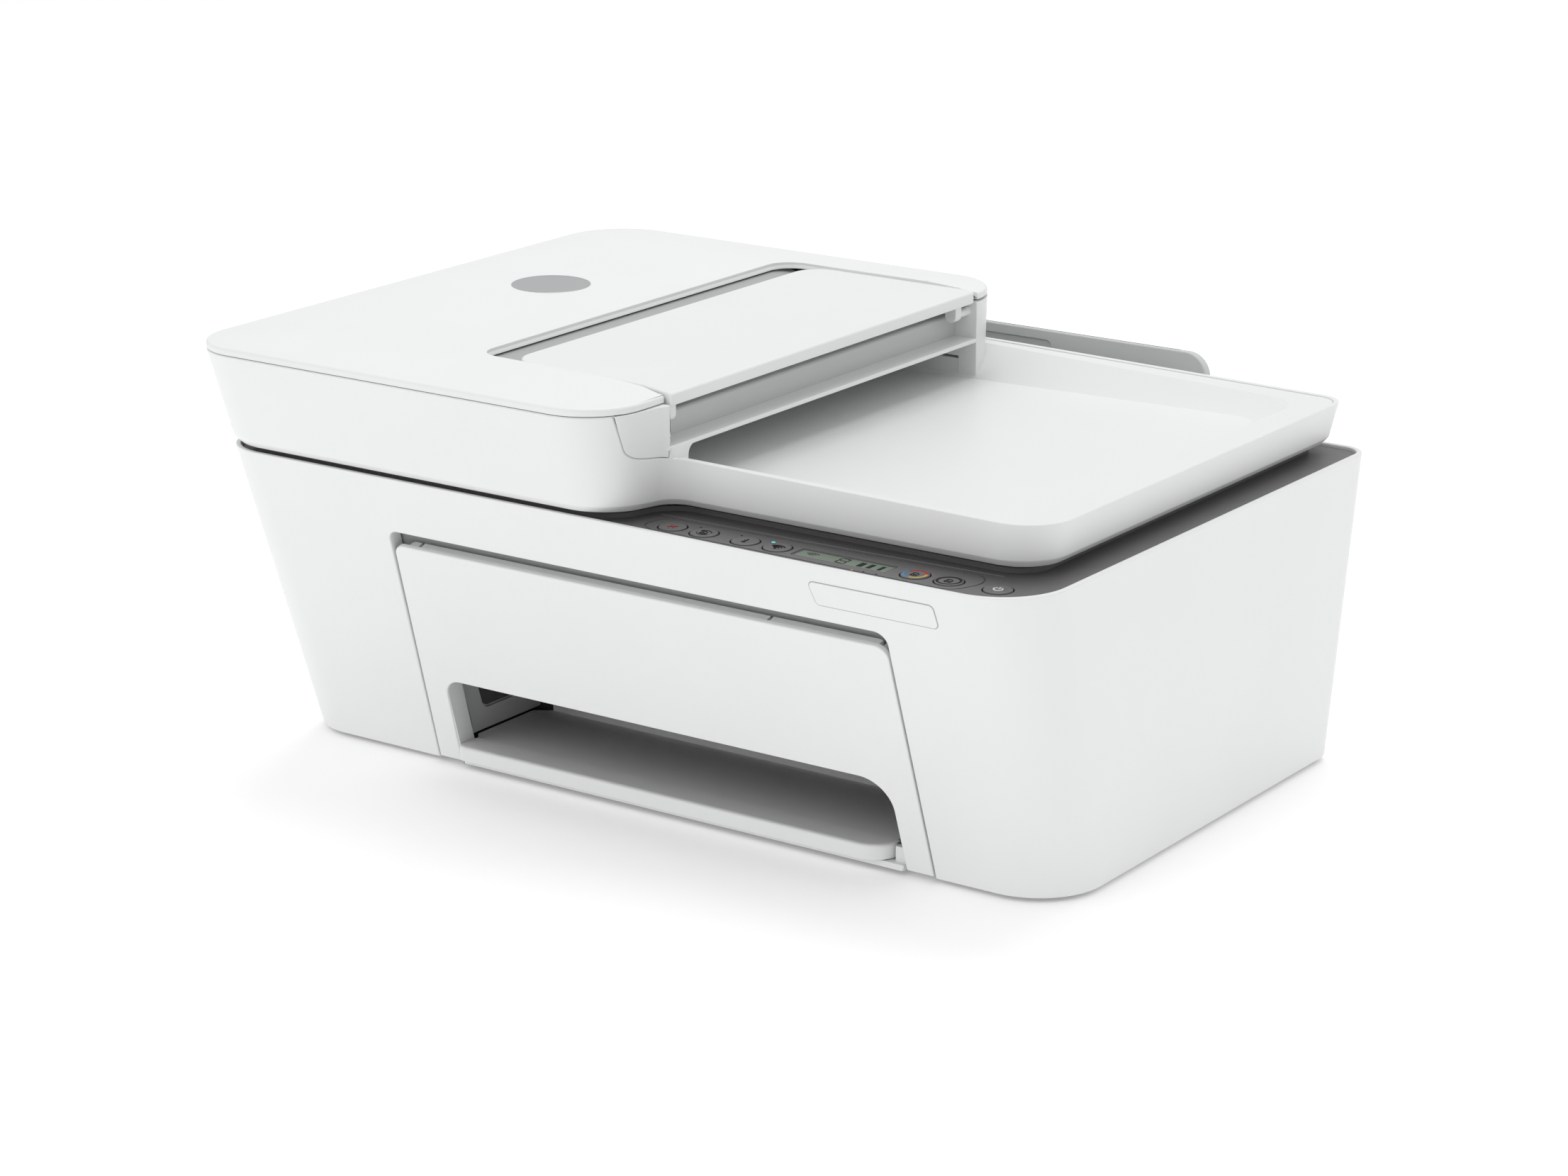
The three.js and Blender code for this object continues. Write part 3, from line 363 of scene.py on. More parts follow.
def surface(name, color, roughness, **look):
    """A procedural material. The look may give how far the colour may vary and how broadly, the
    gloss range and the scale of its streaks, the grain and its depth, and sockets to set."""
    made = bpy.data.materials.new(name)
    made.use_nodes = True
    nodes, links = made.node_tree.nodes, made.node_tree.links
    shader = nodes["Principled BSDF"]
    place = nodes.new("ShaderNodeTexCoord").outputs["Object"]
    vary = look.get("vary", 0.006)
    darker = [c * (1 - vary) for c in color]
    lighter = [min(1, c * (1 + vary)) for c in color]
    broad = noise(nodes, links, place, look.get("broad", 22.0))
    blend = nodes.new("ShaderNodeMix")
    blend.data_type = "RGBA"
    set_inputs(blend, {"A": (*darker, 1), "B": (*lighter, 1)})
    links.new(ramped(nodes, links, broad, 0, 1), blend.inputs["Factor"])
    links.new(blend.outputs["Result"], shader.inputs["Base Color"])
    streaks = noise(nodes, links, place, look.get("streaks", 90.0), 5.0)
    gloss = look.get("gloss_range", 0.02)
    rough = ramped(nodes, links, streaks, roughness - gloss, roughness + gloss)
    links.new(rough, shader.inputs["Roughness"])
    grain = noise(nodes, links, place, look.get("grain", 1900.0), 2.0)
    bump = nodes.new("ShaderNodeBump")
    set_inputs(bump, {"Strength": look.get("depth", 0.12), "Distance": 0.00004})
    links.new(grain, bump.inputs["Height"])
    links.new(bump.outputs["Normal"], shader.inputs["Normal"])
    set_inputs(shader, look.get("sockets", {}))
    return made


WHITE = surface("white_plastic", (0.83, 0.84, 0.838), 0.36, depth=0.16, sockets={"IOR": 1.48})
WHITE_COVER = surface("cover_plastic", (0.85, 0.86, 0.858), 0.42, depth=0.22)
PALE = surface("pale_gray_plastic", (0.6, 0.61, 0.61), 0.42, depth=0.2)
GRAY = surface("gray_plastic", (0.142, 0.137, 0.138), 0.4, depth=0.3, vary=0.02)
FLOOR_GRAY = surface("tray_plastic", (0.78, 0.785, 0.785), 0.46, depth=0.35, vary=0.015)
# This gray also colours the ring round the front badge, where it is painted shade.
STRIP_GRAY_AND_PAINTED_SHADE = surface("strip_and_painted_shade_plastic", (0.42, 0.425, 0.425), 0.42, depth=0.3)
TRIM_DARK = surface("trim_plastic", (0.1, 0.1, 0.1), 0.4, depth=0.2)
DARK = surface("frame_plastic", (0.045, 0.047, 0.05), 0.5, depth=0.35, vary=0.06)
BLACK = surface("cartridge_plastic", (0.014, 0.014, 0.016), 0.32, depth=0.2)
RUBBER = surface("rubber", (0.02, 0.02, 0.02), 0.82, grain=900.0, depth=0.6)
METAL = {"Metallic": 1}
STEEL = surface("brushed_steel", (0.58, 0.585, 0.6), 0.27, streaks=400.0, gloss_range=0.1, sockets=METAL)
BOARD = surface("circuit_board", (0.015, 0.12, 0.05), 0.35, broad=160.0, vary=0.3)
FOAM = surface("pad_foam", (0.8, 0.81, 0.81), 0.9, grain=700.0, depth=0.7)
CLEAR = {"Transmission Weight": 0.75, "IOR": 1.5}
GLASS = surface("platen_glass", (0.55, 0.62, 0.6), 0.05, depth=0.0, gloss_range=0.01, sockets=CLEAR)
LCD = surface("display_glass", (0.2, 0.245, 0.193), 0.3, depth=0.0, sockets={"Coat Weight": 0.15})
MATT_INK = {"Specular IOR Level": 0.15}
LCD_INK = surface("display_ink", (0.02, 0.028, 0.022), 0.7, depth=0.05, sockets=MATT_INK)
DISC = surface("disc_metal", (0.5, 0.51, 0.515), 0.34, depth=0.05, sockets={"Metallic": 0.8})
PRINT_DARK = surface("print_dark", (0.02, 0.02, 0.022), 0.7, depth=0.05, sockets=MATT_INK)
PRINT_WHITE = surface("print_white", (0.8, 0.82, 0.82), 0.4, depth=0.05)
PRINT_RED = surface("print_red", (0.4, 0.015, 0.03), 0.6, depth=0.05)
PRINT_YELLOW = surface("print_yellow", (0.62, 0.42, 0.03), 0.4, depth=0.05)
PRINT_BLUE = surface("print_blue", (0.03, 0.2, 0.42), 0.4, depth=0.05)
LIT = {"Emission Color": (0.1, 0.75, 0.7, 1), "Emission Strength": 0.6}
LAMP = surface("lamp_cyan", (0.1, 0.65, 0.62), 0.3, depth=0.0, sockets=LIT)


# ---------------------------------------------------------------- the lower case
def eased(t):
    t = min(max(t, 0.0), 1.0)
    return t * t * (3 - 2 * t)


RIM_BEND_START = -2
RIM_BEND_LENGTH = 132
ABOVE_RIM = 152


def rim_height(x):
    """The rim is level at both ends and falls gently between them."""
    return RIM_LEFT + (RIM_RIGHT - RIM_LEFT) * eased((x - RIM_BEND_START) / RIM_BEND_LENGTH)


def case_ring(inset, height=None, from_rim=0.0):
    """The case's outline at one height, or at a distance from the rim all the way round."""
    low = rounded(drawn_in(case_corners(CASE_BOTTOM), inset), 14, 60)
    high = rounded(drawn_in(case_corners(ABOVE_RIM), inset), 14, 60)
    ring = []
    for a, b in zip(low, high):
        z = rim_height(b.x) + from_rim if height is None else height
        point = a.lerp(b, (z - CASE_BOTTOM) / (ABOVE_RIM - CASE_BOTTOM))
        ring.append((point.x, point.y, z))
    return ring


def opening_corners(gap, top):
    """The whole doorway in the leaning front."""
    below_case = -8
    return [
        (DOOR_LEFT - gap, below_case, 0),
        (DOOR_RIGHT + gap, below_case, 0),
        (DOOR_TOP_RIGHT + gap, top, 6),
        (DOOR_TOP_LEFT - gap, top, 5),
    ]


def hollow_frame(name, corners, thickness, low, high, place=Matrix.Identity(4), steps=10):
    """A closed wall round an outline, growing outwards from it."""
    inner = rounded(corners, steps)
    outer = rounded(drawn_in(corners, -thickness), steps)
    walk = [(outer, low), (outer, high), (inner, high), (inner, low)]
    return skin(name, [lifted(outline, z) for outline, z in walk], place, loop=True)


# What opens through the case's rear: left, right, bottom and top.
REAR_OPENINGS = {
    "paper_mouth": (-113, 113, 104, 141),
    "inlet_hole": (152, 174, 18, 36),
    "socket_hole": (132, 146, 20, 33),
}


def case_shell():
    outside = [(1.2, CASE_BOTTOM), (0.5, CASE_BOTTOM + 0.3), (0, CASE_BOTTOM + 1), (0, 60)]
    over_rim = [(0, -0.6), (0.18, -0.18), (0.6, 0), (WALL - 0.4, 0), (WALL, -0.4)]
    inside = [(WALL, 60), (WALL, CASE_BOTTOM)]
    rings = [case_ring(inset, z) for inset, z in outside]
    rings += [case_ring(inset, from_rim=rise) for inset, rise in over_rim]
    rings += [case_ring(inset, z) for inset, z in inside]
    shell = skin("case_shell", rings, loop=True)
    flare = [(-9, 0), (-0.8, 0), (-0.35, -0.12), (-0.1, -0.38), (0.0, -0.75), (4, -0.75)]
    doorway = plate("doorway", opening_corners(DOOR_GAP, OPENING_TOP), flare, ON_FRONT)
    holes = [
        plate(name, rectangle(*sizes, 3), [(-160, 0), (-120, 0)], FACING_FRONT)
        for name, sizes in REAR_OPENINGS.items()
    ]
    cut(shell, doorway, *holes)
    return finished(shell, "printer", WHITE, ["base_shell"])


def opening_flange():
    lowest = 8
    doorway = opening_corners(DOOR_GAP + 0.1, OPENING_TOP + 0.1)
    corners = [(x, max(y, lowest), radius) for x, y, radius in doorway]
    flange = hollow_frame("opening_flange", corners, 1.4, -7.5, -1.2, ON_FRONT)
    lower = plate("lower", rectangle(-140, 160, -10, 60), [(-20, 0), (10, 0)], ON_FRONT)
    cut(flange, lower)
    finished(flange, "printer", WHITE)


BADGE = [(114.5, 132.2, 2.2), (173.5, 132.2, 2.2), (172.4, 143, 2.2), (111.9, 143, 2.2)]


def front_badge():
    """A plain raised badge. The thin gray ring round it is painted shade, standing for the shadow gap at
    the badge's edge.
    """
    badge = plate("front_badge", BADGE, soft_edges(-0.4, 0.3, 0.05, 0.12), ON_FRONT)
    finished(badge, "printer", WHITE)
    # The gray ring round the badge is painted shade: a shadow gap given as colour.
    seam = hollow_frame("badge_painted_shadow_ring", BADGE, 0.45, -0.4, 0.05, ON_FRONT)
    finished(seam, "printer", STRIP_GRAY_AND_PAINTED_SHADE)


# ---------------------------------------------------------------- the front door and the trays
SLOT_CORNERS = [
    (SLOT_LEFT, -20, 0),
    (SLOT_RIGHT, -20, 0),
    (SLOT_TOP_RIGHT, SLOT_TOP, 15),
    (SLOT_TOP_LEFT, SLOT_TOP, 9),
]
DOOR_AXIS_AT = ON_FRONT @ Vector((0, 7, -8))
EAR_THICKNESS = 2.6
EAR_LEFT = -127.4
EAR_RIGHT = 149.2
PIN_RADIUS = 2


def x_bar(name, radius, x0, x1, y, z, sides=32):
    """A round bar along X with slightly rounded ends."""
    ease = min(0.3, radius / 4)
    levels = [(x0, ease), (x0 + ease, 0), (x1 - ease, 0), (x1, ease)]
    rings = [[(x, p.x, p.y) for p in circle(y, z, radius - less, sides)] for x, less in levels]
    return skin(name, rings)


def front_door():
    foot = 1
    face = [
        (DOOR_LEFT, foot, 0.6),
        (SLOT_LEFT, foot, 0.6),
        (SLOT_TOP_LEFT, SLOT_TOP, 9),
        (SLOT_TOP_RIGHT, SLOT_TOP, 15),
        (SLOT_RIGHT, foot, 0.6),
        (DOOR_RIGHT, foot, 0.6),
        (DOOR_TOP_RIGHT, DOOR_TOP, 6),
        (DOOR_TOP_LEFT, DOOR_TOP, 5),
    ]
    door = plate("front_door", face, soft_edges(-2.6, 0, 0.3, 0.75, 5), ON_FRONT)
    join(door, slot_flange(), door_hem(), *door_lugs(), *door_pins())
    finished(door, "front_door", WHITE, ["cartridge_door"])


def slot_flange():
    corners = drawn_in(SLOT_CORNERS, -0.04)
    flange = hollow_frame("slot_flange", corners, 2.0, -10.5, -0.8, ON_FRONT, 12)
    below = plate("below", rectangle(-140, 160, -40, 1.4), [(-20, 0), (10, 0)], ON_FRONT)
    return cut(flange, below)


def door_hem():
    """The turned-in edge round the door's upper part, with three small notches in its top."""
    hem = hollow_frame("hem", rectangle(-111, 140, 55, DOOR_TOP - 3.6, 3), 2.4, -7, -1, ON_FRONT)
    notches = []
    for left in (-105, 83, 139):
        outline = rectangle(left, left + 1.6, DOOR_TOP - 4, DOOR_TOP, 0.3)
        notches.append(plate("notch", outline, [(-8, 0), (-3.4, 0)], ON_FRONT))
    return cut(hem, *notches)


def door_lugs():
    return [
        plate("lug", rectangle(left, right, 2.5, 12, 2), [(-11.5, 0), (-1, 0)], ON_FRONT)
        for left, right in [(-121, -112), (135.4, 145)]
    ]


def door_pins():
    y, z = DOOR_AXIS_AT.y, DOOR_AXIS_AT.z
    reach = EAR_THICKNESS + 1
    return [
        x_bar("pin", PIN_RADIUS, EAR_LEFT - reach, -114, y, z),
        x_bar("pin", PIN_RADIUS, 138, EAR_RIGHT + reach, y, z),
    ]


def door_header():
    """The frame bar that shows dark through the gap above the door."""
    bar = plate("door_header", rectangle(-122, 150, 107, 131, 3), soft_edges(-12, -8.4), ON_FRONT)
    finished(bar, "printer", STRIP_GRAY_AND_PAINTED_SHADE)


def output_floor():
    left, front_left, right, front, rear = -112.2, -106, 122, -96, -41.6
    outline = [
        (front_left, front, 1),
        (right, front, 1),
        (right, rear, 8),
        (-104, rear, 2),
        (left, -47, 2),
        (left, -88, 2),
        (front_left, -91.5, 2),
    ]
    floor = plate("output_floor", outline, soft_edges(9.2, 11.6, 0.3, 0.5))
    runners = [
        plate("runner", rectangle(x, x + 6, front + 2, -46, 1), [(4.9, 0), (10, 0)])
        for x in (-98, 110)
    ]
    join(floor, *runners)
    finished(floor, "printer", FLOOR_GRAY, ["output_tray"])
    wall_outline = rectangle(-104, 120, rear - 1, rear + 0.7, 0.6)
    wall = plate("floor_rear_wall", wall_outline, soft_edges(9, 15.4))
    finished(wall, "printer", FLOOR_GRAY)


def tray_lip():
    left, right, front, rear = -109, 124.5, -108, -93.6
    outline = [(left, front, 5), (right, front, 13.5), (right, rear, 0.8), (left, rear, 0.8)]
    lip = plate("tray_lip", outline, soft_edges(5.2, 12.1, 0.8, 1.4, 6), steps=14)
    room = plate("room", rectangle(-130, 130, -96.4, -80), [(4, 0), (11.7, 0)])
    cut(lip, room)
    slide = plate("slide", rectangle(-88, 106, -98, 60, 4), soft_edges(5.9, 8.5, 0.4, 0.4))
    join(lip, slide)
    finished(lip, "extender", WHITE, ["tray_extender"])
    tray_lip_top(left + 1.5, right - 1.5, front + 1.5, rear - 0.1)


def tray_lip_top(left, right, front, rear):
    """The gray face inlaid in the lip's top."""
    outline = [(left, front, 3.5), (right, front, 12), (right, rear, 0.3), (left, rear, 0.3)]
    inlay = plate("tray_lip_top", outline, soft_edges(11.8, 12.2, 0.05, 0.1, 2), steps=14)
    finished(inlay, "extender", FLOOR_GRAY)


def slot_side_panel():
    """The inner panel seen at the slot's left end, with a dark rounded pocket in it."""
    side = [(-89.5, 11.9, 0.6), (-36, 11.9, 1), (-36, 42, 1), (-98.5, 42, 3), (-91, 19, 6)]
    panel = plate("slot_side_panel", side, soft_edges(-115.4, -113), FACING_RIGHT)
    well = [(-82, 22, 5), (-42, 22, 3), (-42, 50, 3), (-91.5, 50, 5)]
    cut(panel, plate("pocket", well, [(-114.2, 0), (-100, -1)], FACING_RIGHT))
    finished(panel, "printer", PALE)
    back = [(-81, 22.6, 5), (-42.4, 22.6, 3), (-42.4, 41, 0.6), (-89, 41, 0.6)]
    pocket = plate("slot_side_pocket", back, soft_edges(-114.5, -114, 0.1, 0.1, 2), FACING_RIGHT)
    finished(pocket, "printer", TRIM_DARK)


def front_strip():
    """The strip under the lip, with the post that stands beside the lip's right end."""
    right, rear = 131.2, -97
    outline = rectangle(-108.3, right, -102.9, rear, 0.8)
    strip = plate("front_strip", outline, soft_edges(2.05, 4.9, 0.3, 0.3))
    post = plate("post", rectangle(125.4, right, -100.4, rear, 0.8), soft_edges(2.6, 11.8, 0.3, 0.5))
    join(strip, post)
    finished(strip, "printer", WHITE)


# ---------------------------------------------------------------- the deck and its controls
BUTTON_X = {
    "cancel_button": 33.7,
    "resume_button": 50.0,
    "info_button": 71.2,
    "wireless_button": 87.4,
    "colour_copy_button": 155.2,
    "black_copy_button": 171.4,
    "power_button": 193.6,
}
BUTTON_TOP = 145.1
BUTTON_Y = -132.8
POWER_BUTTON_Y = -131.3
DISPLAY_LEFT = 97.1
DISPLAY_RIGHT = 142.9
DISPLAY_FRONT = -136.5
DISPLAY_REAR = -127.5


def button_at(name):
    return BUTTON_X[name], POWER_BUTTON_Y if name == "power_button" else BUTTON_Y


def display_outline(drawn, radius):
    """The display's outline, drawn in by a distance or let out by a negative one."""
    left, right = DISPLAY_LEFT + drawn, DISPLAY_RIGHT - drawn
    return rectangle(left, right, DISPLAY_FRONT + drawn, DISPLAY_REAR - drawn, radius)


GROOVE = [
    (19, -139.6, 7),
    (178, -142.2, 8),
    (188, -117.2, 10),
    (150, -118.6, 60),
    (105, -120.4, 60),
    (24, -122.8, 6),
]


def deck():
    edge = WALL + 0.15
    levels = [(DECK_TOP - 2.6, edge), (DECK_TOP - 0.3, edge), (DECK_TOP, edge + 0.3)]
    rings = [lifted(rounded(drawn_in(case_corners(z), inset), 12, 20), z) for z, inset in levels]
    plane = skin("scanner_deck", rings)
    raised = soft_edges(DECK_TOP - 1, DECK_RAISED, 0.1, 0.8)
    bed = plate("bed", drawn_in(lid_corners(DECK_TOP), 7), raised)
    tools = glass_wells()
    screen_well = [(143.2, 0), (144.3, 0), (150, -0.9)]
    tools.append(plate("screen_well", display_outline(-0.5, 0.9), screen_well))
    tools.append(hollow_frame("groove", GROOVE, 0.75, DECK_TOP - 0.45, DECK_TOP + 1))
    for name in BUTTON_X:
        x, y = button_at(name)
        tools.append(prism("hole", circle(x, y, BUTTON_RADIUS + 0.6), 138, 150))
    join(plane, bed)
    cut(plane, *tools)
    finished(plane, "printer", GRAY, ["scanner_deck"], 30)
    deck_ridge()


def glass_wells():
    """The seat that the glass lies in, and the opening under it for the scan head's light."""
    left, right, front, rear, ledge = -194, 112, -92, 124, 4
    light = rectangle(left + ledge, right - ledge, front + ledge, rear - ledge, 3)
    return [
        plate("seat", rectangle(left, right, front, rear, 3), [(144.5, 0), (150, 0)]),
        plate("light_well", light, [(138, 0), (150, 0)]),
    ]


def deck_ridge():
    """The low ridge behind the controls."""
    path = [(18, -119.4), (60, -118.9), (120, -117.4), (186, -114.2)]
    outline = ribbon([Vector(point) for point in path], 0.8)
    ridge = prism("deck_ridge", outline, DECK_TOP - 0.3, DECK_TOP + 0.35)
    soften(ridge, 0.2)
    finished(ridge, "printer", GRAY)


def button_cap(name):
    """A shallow dished button with a hidden foot that is wider than its hole."""
    x, y = button_at(name)
    edge, top = BUTTON_RADIUS, BUTTON_TOP
    foot = [(edge + 1.2, 140.6), (edge + 1.2, 141.6), (edge, 141.6)]
    rim = [(edge, top - 0.5), (edge - 0.15, top - 0.15), (edge - 0.5, top)]
    hollow = [(edge - 1.4, top - 0.06), (2.5, top - 0.2), (0.4, top - 0.22)]
    cap = turned(f"{name}_cap", x, y, foot + rim + hollow)
    finished(cap, f"{name}_body", GRAY, [name])


ICON_LOW = BUTTON_TOP - 0.3
ICON_HIGH = BUTTON_TOP + 0.03
RING_RADIUS = 4.9


def icon(name, body, material, outlines, low=ICON_LOW, high=ICON_HIGH):
    """Flat marks, each a closed outline, as one piece."""
    marks = [prism(name if i == 0 else "mark", o, low, high) for i, o in enumerate(outlines)]
    if len(marks) > 1:
        join(marks[0], *marks[1:])
    return finished(marks[0], body, material)


def arc(x, y, radius, from_degrees, to_degrees, steps=16):
    points = []
    for i in range(steps + 1):
        angle = math.radians(from_degrees + (to_degrees - from_degrees) * i / steps)
        points.append(Vector((x + radius * math.cos(angle), y + radius * math.sin(angle))))
    return points


def line(x0, y0, x1, y1, width):
    return ribbon([Vector((x0, y0)), Vector((x1, y1))], width)


def page_marks(x, y, size):
    """A small sheet with a turned corner. Widths differ, so that no faces of strokes coincide."""
    w, h = size * 0.62, size * 0.8
    corners = [(-w, -h), (w, -h), (w, h * 0.4), (w * 0.3, h), (-w, h)]
    path = [Vector((x + across, y + up)) for across, up in corners]
    sides = []
    for i, point in enumerate(path):
        end = path[(i + 1) % len(path)]
        reach = (end - point).normalized() * 0.14
        sides.append(ribbon([point - reach, end + reach], 0.2 + 0.01 * i))
    return sides + [line(x - w * 0.5, y - h * 0.2, x + w * 0.5, y - h * 0.24, 0.2)]


def cancel_icon():
    x, y = button_at("cancel_button")
    w, h = 1.7, 1.5
    cross = [line(x - w, y - h, x + w, y + h, 0.42), line(x - w, y + h, x + w, y - h, 0.43)]
    icon("cancel_mark", "cancel_button_body", PRINT_RED, cross)


def resume_icon():
    x, y = button_at("resume_button")
    round_it = [ribbon(arc(x, y, 3.1, 200, 330), 0.32), ribbon(arc(x, y, 3.1, 20, 150), 0.33)]
    icon("resume_mark", "resume_button_body", PRINT_DARK, page_marks(x, y, 2.1) + round_it)


def info_icon():
    x, y = button_at("info_button")
    stem = [
        line(x, y - 1.9, x, y + 0.7, 0.75),
        line(x - 0.8, y + 0.55, x + 0.1, y + 0.56, 0.4),
        line(x - 0.9, y - 1.8, x + 0.9, y - 1.81, 0.41),
        circle(x, y + 1.9, 0.48, 20),
    ]
    icon("info_mark", "info_button_body", PRINT_DARK, stem)


def wireless_icon():
    x, y = button_at("wireless_button")
    foot = y - 2
    waves = [ribbon(arc(x, foot, radius, 40, 140), 0.5) for radius in (1.7, 3.0, 4.3)]
    icon("wireless_mark", "wireless_button_body", PRINT_DARK, waves + [circle(x, foot, 0.6, 20)])


def colour_copy_icon():
    x, y = button_at("colour_copy_button")
    body = "colour_copy_button_body"
    icon("colour_copy_mark", body, PRINT_DARK, page_marks(x, y, 2.2))
    thirds = [
        ("blue", PRINT_BLUE, 150, 268),
        ("red", PRINT_RED, 22, 148),
        ("yellow", PRINT_YELLOW, 270, 380),
    ]
    for colour, material, start, end in thirds:
        third = ribbon(arc(x, y, RING_RADIUS, start, end, 30), 1.0)
        icon(f"colour_copy_{colour}", body, material, [third])


def black_copy_icon():
    x, y = button_at("black_copy_button")
    halves = [ribbon(arc(x, y, RING_RADIUS, start, start + 179.9, 40), 1.1) for start in (0, 180)]
    icon("black_copy_mark", "black_copy_button_body", PRINT_DARK, page_marks(x, y, 2.2) + halves)


def power_icon():
    x, y = button_at("power_button")
    glyph = [ribbon(arc(x, y, 1.9, 125, 415, 30), 0.5), line(x, y + 0.5, x, y + 2.5, 0.5)]
    icon("power_mark", "power_button_body", PRINT_WHITE, glyph)


def deck_marks():
    low, high = DECK_TOP - 0.2, DECK_TOP + 0.05
    for i, (x, y) in enumerate([(43.8, -126.5), (64.9, -126.6)]):
        icon(f"unlit_lamp_{i + 1}", "printer", PRINT_DARK, [circle(x, y, 0.55, 20)], low, high)
    icon("wireless_lamp", "printer", LAMP, [circle(81.3, -126.9, 0.85, 24)], low, high)
    dots = [(130.2, -141.3, PRINT_YELLOW), (135.6, -141.0, PRINT_DARK), (141.7, -140.9, PRINT_DARK)]
    for i, (x, y, material) in enumerate(dots):
        icon(f"level_mark_{i + 1}", "printer", material, [circle(x, y, 0.5, 18)], low, high)


INK_LOW = 144.1
INK_HIGH = 144.3


def display():
    pane = plate("display_pane", display_outline(0, 0.8), soft_edges(143.5, 144.25, 0.05, 0.15, 2))
    finished(pane, "printer", LCD, ["display"])
    border = hollow_frame("display_frame", display_outline(0.5, 0.6), 0.9, 143.4, 144.34)
    finished(border, "printer", TRIM_DARK)
    waves = [ribbon(arc(104, -133.6, radius, 40, 140), 0.45) for radius in (1.6, 2.8, 4.0)]
    icon("display_waves", "printer", LCD_INK, waves, INK_LOW, INK_HIGH)
    display_digit(119.5, -132.0)
    display_bars()


def display_digit(x, y):
    """A digit of seven strokes, all of them on."""
    w, h, gap, tuck, width = 2.1, 3.1, 0.3, 0.55, 0.75
    strokes = []
    for side in (x - w, x + w):
        strokes.append(line(side, y - h, side, y - gap, width))
        strokes.append(line(side, y + gap, side, y + h, width))
    for level in (y + h, y, y - h):
        strokes.append(line(x - w + tuck, level, x + w - tuck, level, width))
    for i, stroke in enumerate(strokes):
        name = f"display_stroke_{i + 1}"
        icon(name, "printer", LCD_INK, [stroke], INK_LOW, INK_HIGH)


def display_bars():
    for i, left in enumerate((127.5, 132.2, 137.6)):
        outline = rectangle(left, left + 2.6 - 0.4 * i, -134.9, -129.4, 0.3)
        bar = plate(f"display_bar_{i + 1}", outline, [(INK_LOW, 0), (INK_HIGH, 0)])
        finished(bar, "printer", LCD_INK)


# ---------------------------------------------------------------- the lid
def lid_ring(z, inset, steps=14):
    return lifted(rounded(drawn_in(lid_corners(z), inset), steps), z)


def rim_cutter(name, left, lower):
    """Everything above the lid's rim, to the right of a place. The rim falls a little to the right."""
    fall = math.tan(LID_TOP_FALL)
    right, ceiling = 240, 230
    rim = [(x, LID_TOP - lower - fall * (x - FEEDER_END)) for x in (left, right)]
    outline = [*rim, (right, ceiling), (left, ceiling)]
    return skin(name, [[(x, y, z) for x, z in outline] for y in (-200, 200)])


def block(name, left, right, low, high):
    """A box that reaches past the lid at the front and the rear."""
    far = 250
    return prism(name, [(left, -far), (right, -far), (right, far), (left, far)], low, high)


def end_cap_room(gap=0.0, right=60):
    """The notch in the lid's right end that the end cap fills, seen from the front."""
    left, low, high = 17 + gap, 170.6 + gap, 205
    return [(left, low, 7), (right, low, 0), (right, high, 0), (left, high, 0)]


def feeder_rounding(z):
    """The radius of the feeder's rear right corner, which starts at the same place at any height."""
    return lid_corners(z)[4][1] - FEEDER_CORNER_Y


def beyond_feeder_corner(name):
    """All that lies outside the feeder's rounded rear right corner, above the rim."""
    rings = []
    for z in (LID_TOP - 0.1, 215):
        radius = feeder_rounding(z)
        middle = FEEDER_END - radius
        turn = arc(middle, FEEDER_CORNER_Y, radius, 0, 90, 24)
        beyond = [(middle, 220), (80, 220), (80, FEEDER_CORNER_Y)]
        rings.append(lifted([*turn, *beyond], z))
    return skin(name, rings)


def lid_shell():
    levels = [
        (LID_BOTTOM, 2.4),
        (LID_BOTTOM + LID_LIP - 0.5, 0.3),
        *[(LID_BOTTOM + LID_LIP + 0.2 + 3.4 * step, 0.0) for step in range(7)],
        (FEEDER_TOP - 0.35, 0.0),
        (FEEDER_TOP, 0.35),
        (FEEDER_TOP, WALL),
        *[(174 - 4 * step, WALL) for step in range(5)],
        (LID_BOTTOM + WALL + 1.6, WALL),
        (LID_BOTTOM + WALL, WALL + 1.6),
    ]
    lid = skin("scanner_lid_shell", [lid_ring(z, inset) for z, inset in levels])
    room = plate("room", end_cap_room(), [(110, 0), (170, 0)], FACING_FRONT)
    cut(lid, rim_cutter("rim", FEEDER_END, 0), room, beyond_feeder_corner("corner"))
    soften(lid, 0.45, 48)
    join(lid, *lid_knuckles())
    finished(lid, "lid", WHITE, ["scanner_lid"], 30)


def lid_knuckles():
    """Two knuckles and a pin at each of the lid's hinges."""
    pieces = []
    half, near, far = 3.2, 4.6, 9.4
    side = [
        (LID_REAR + 1, LID_AXIS_Z - half, 0.8),
        (LID_AXIS_Y + 2.6, LID_AXIS_Z - half, 2.8),
        (LID_AXIS_Y + 2.6, LID_AXIS_Z + half, 2.8),
        (LID_REAR + 1, LID_AXIS_Z + half, 0.8),
    ]
    for x in (-168, 152):
        for x0, x1 in [(x - far, x - near), (x + near, x + far)]:
            pieces.append(plate("knuckle", side, soft_edges(x0, x1), FACING_RIGHT))
        pieces.append(x_bar("pin", PIN_RADIUS, x - 6, x + 6, LID_AXIS_Y, LID_AXIS_Z))
    return pieces


def lid_bumpers():
    profile = [(2.2, 147.25), (2.7, 147.4), (3.1, 149.3)]
    for name, x, y in [("bumper_front", 187, -104), ("bumper_rear", 190, 122)]:
        bumper = turned(name, x, y, profile, 28)
        finished(bumper, "lid", RUBBER)


DISH_STEPS = 24


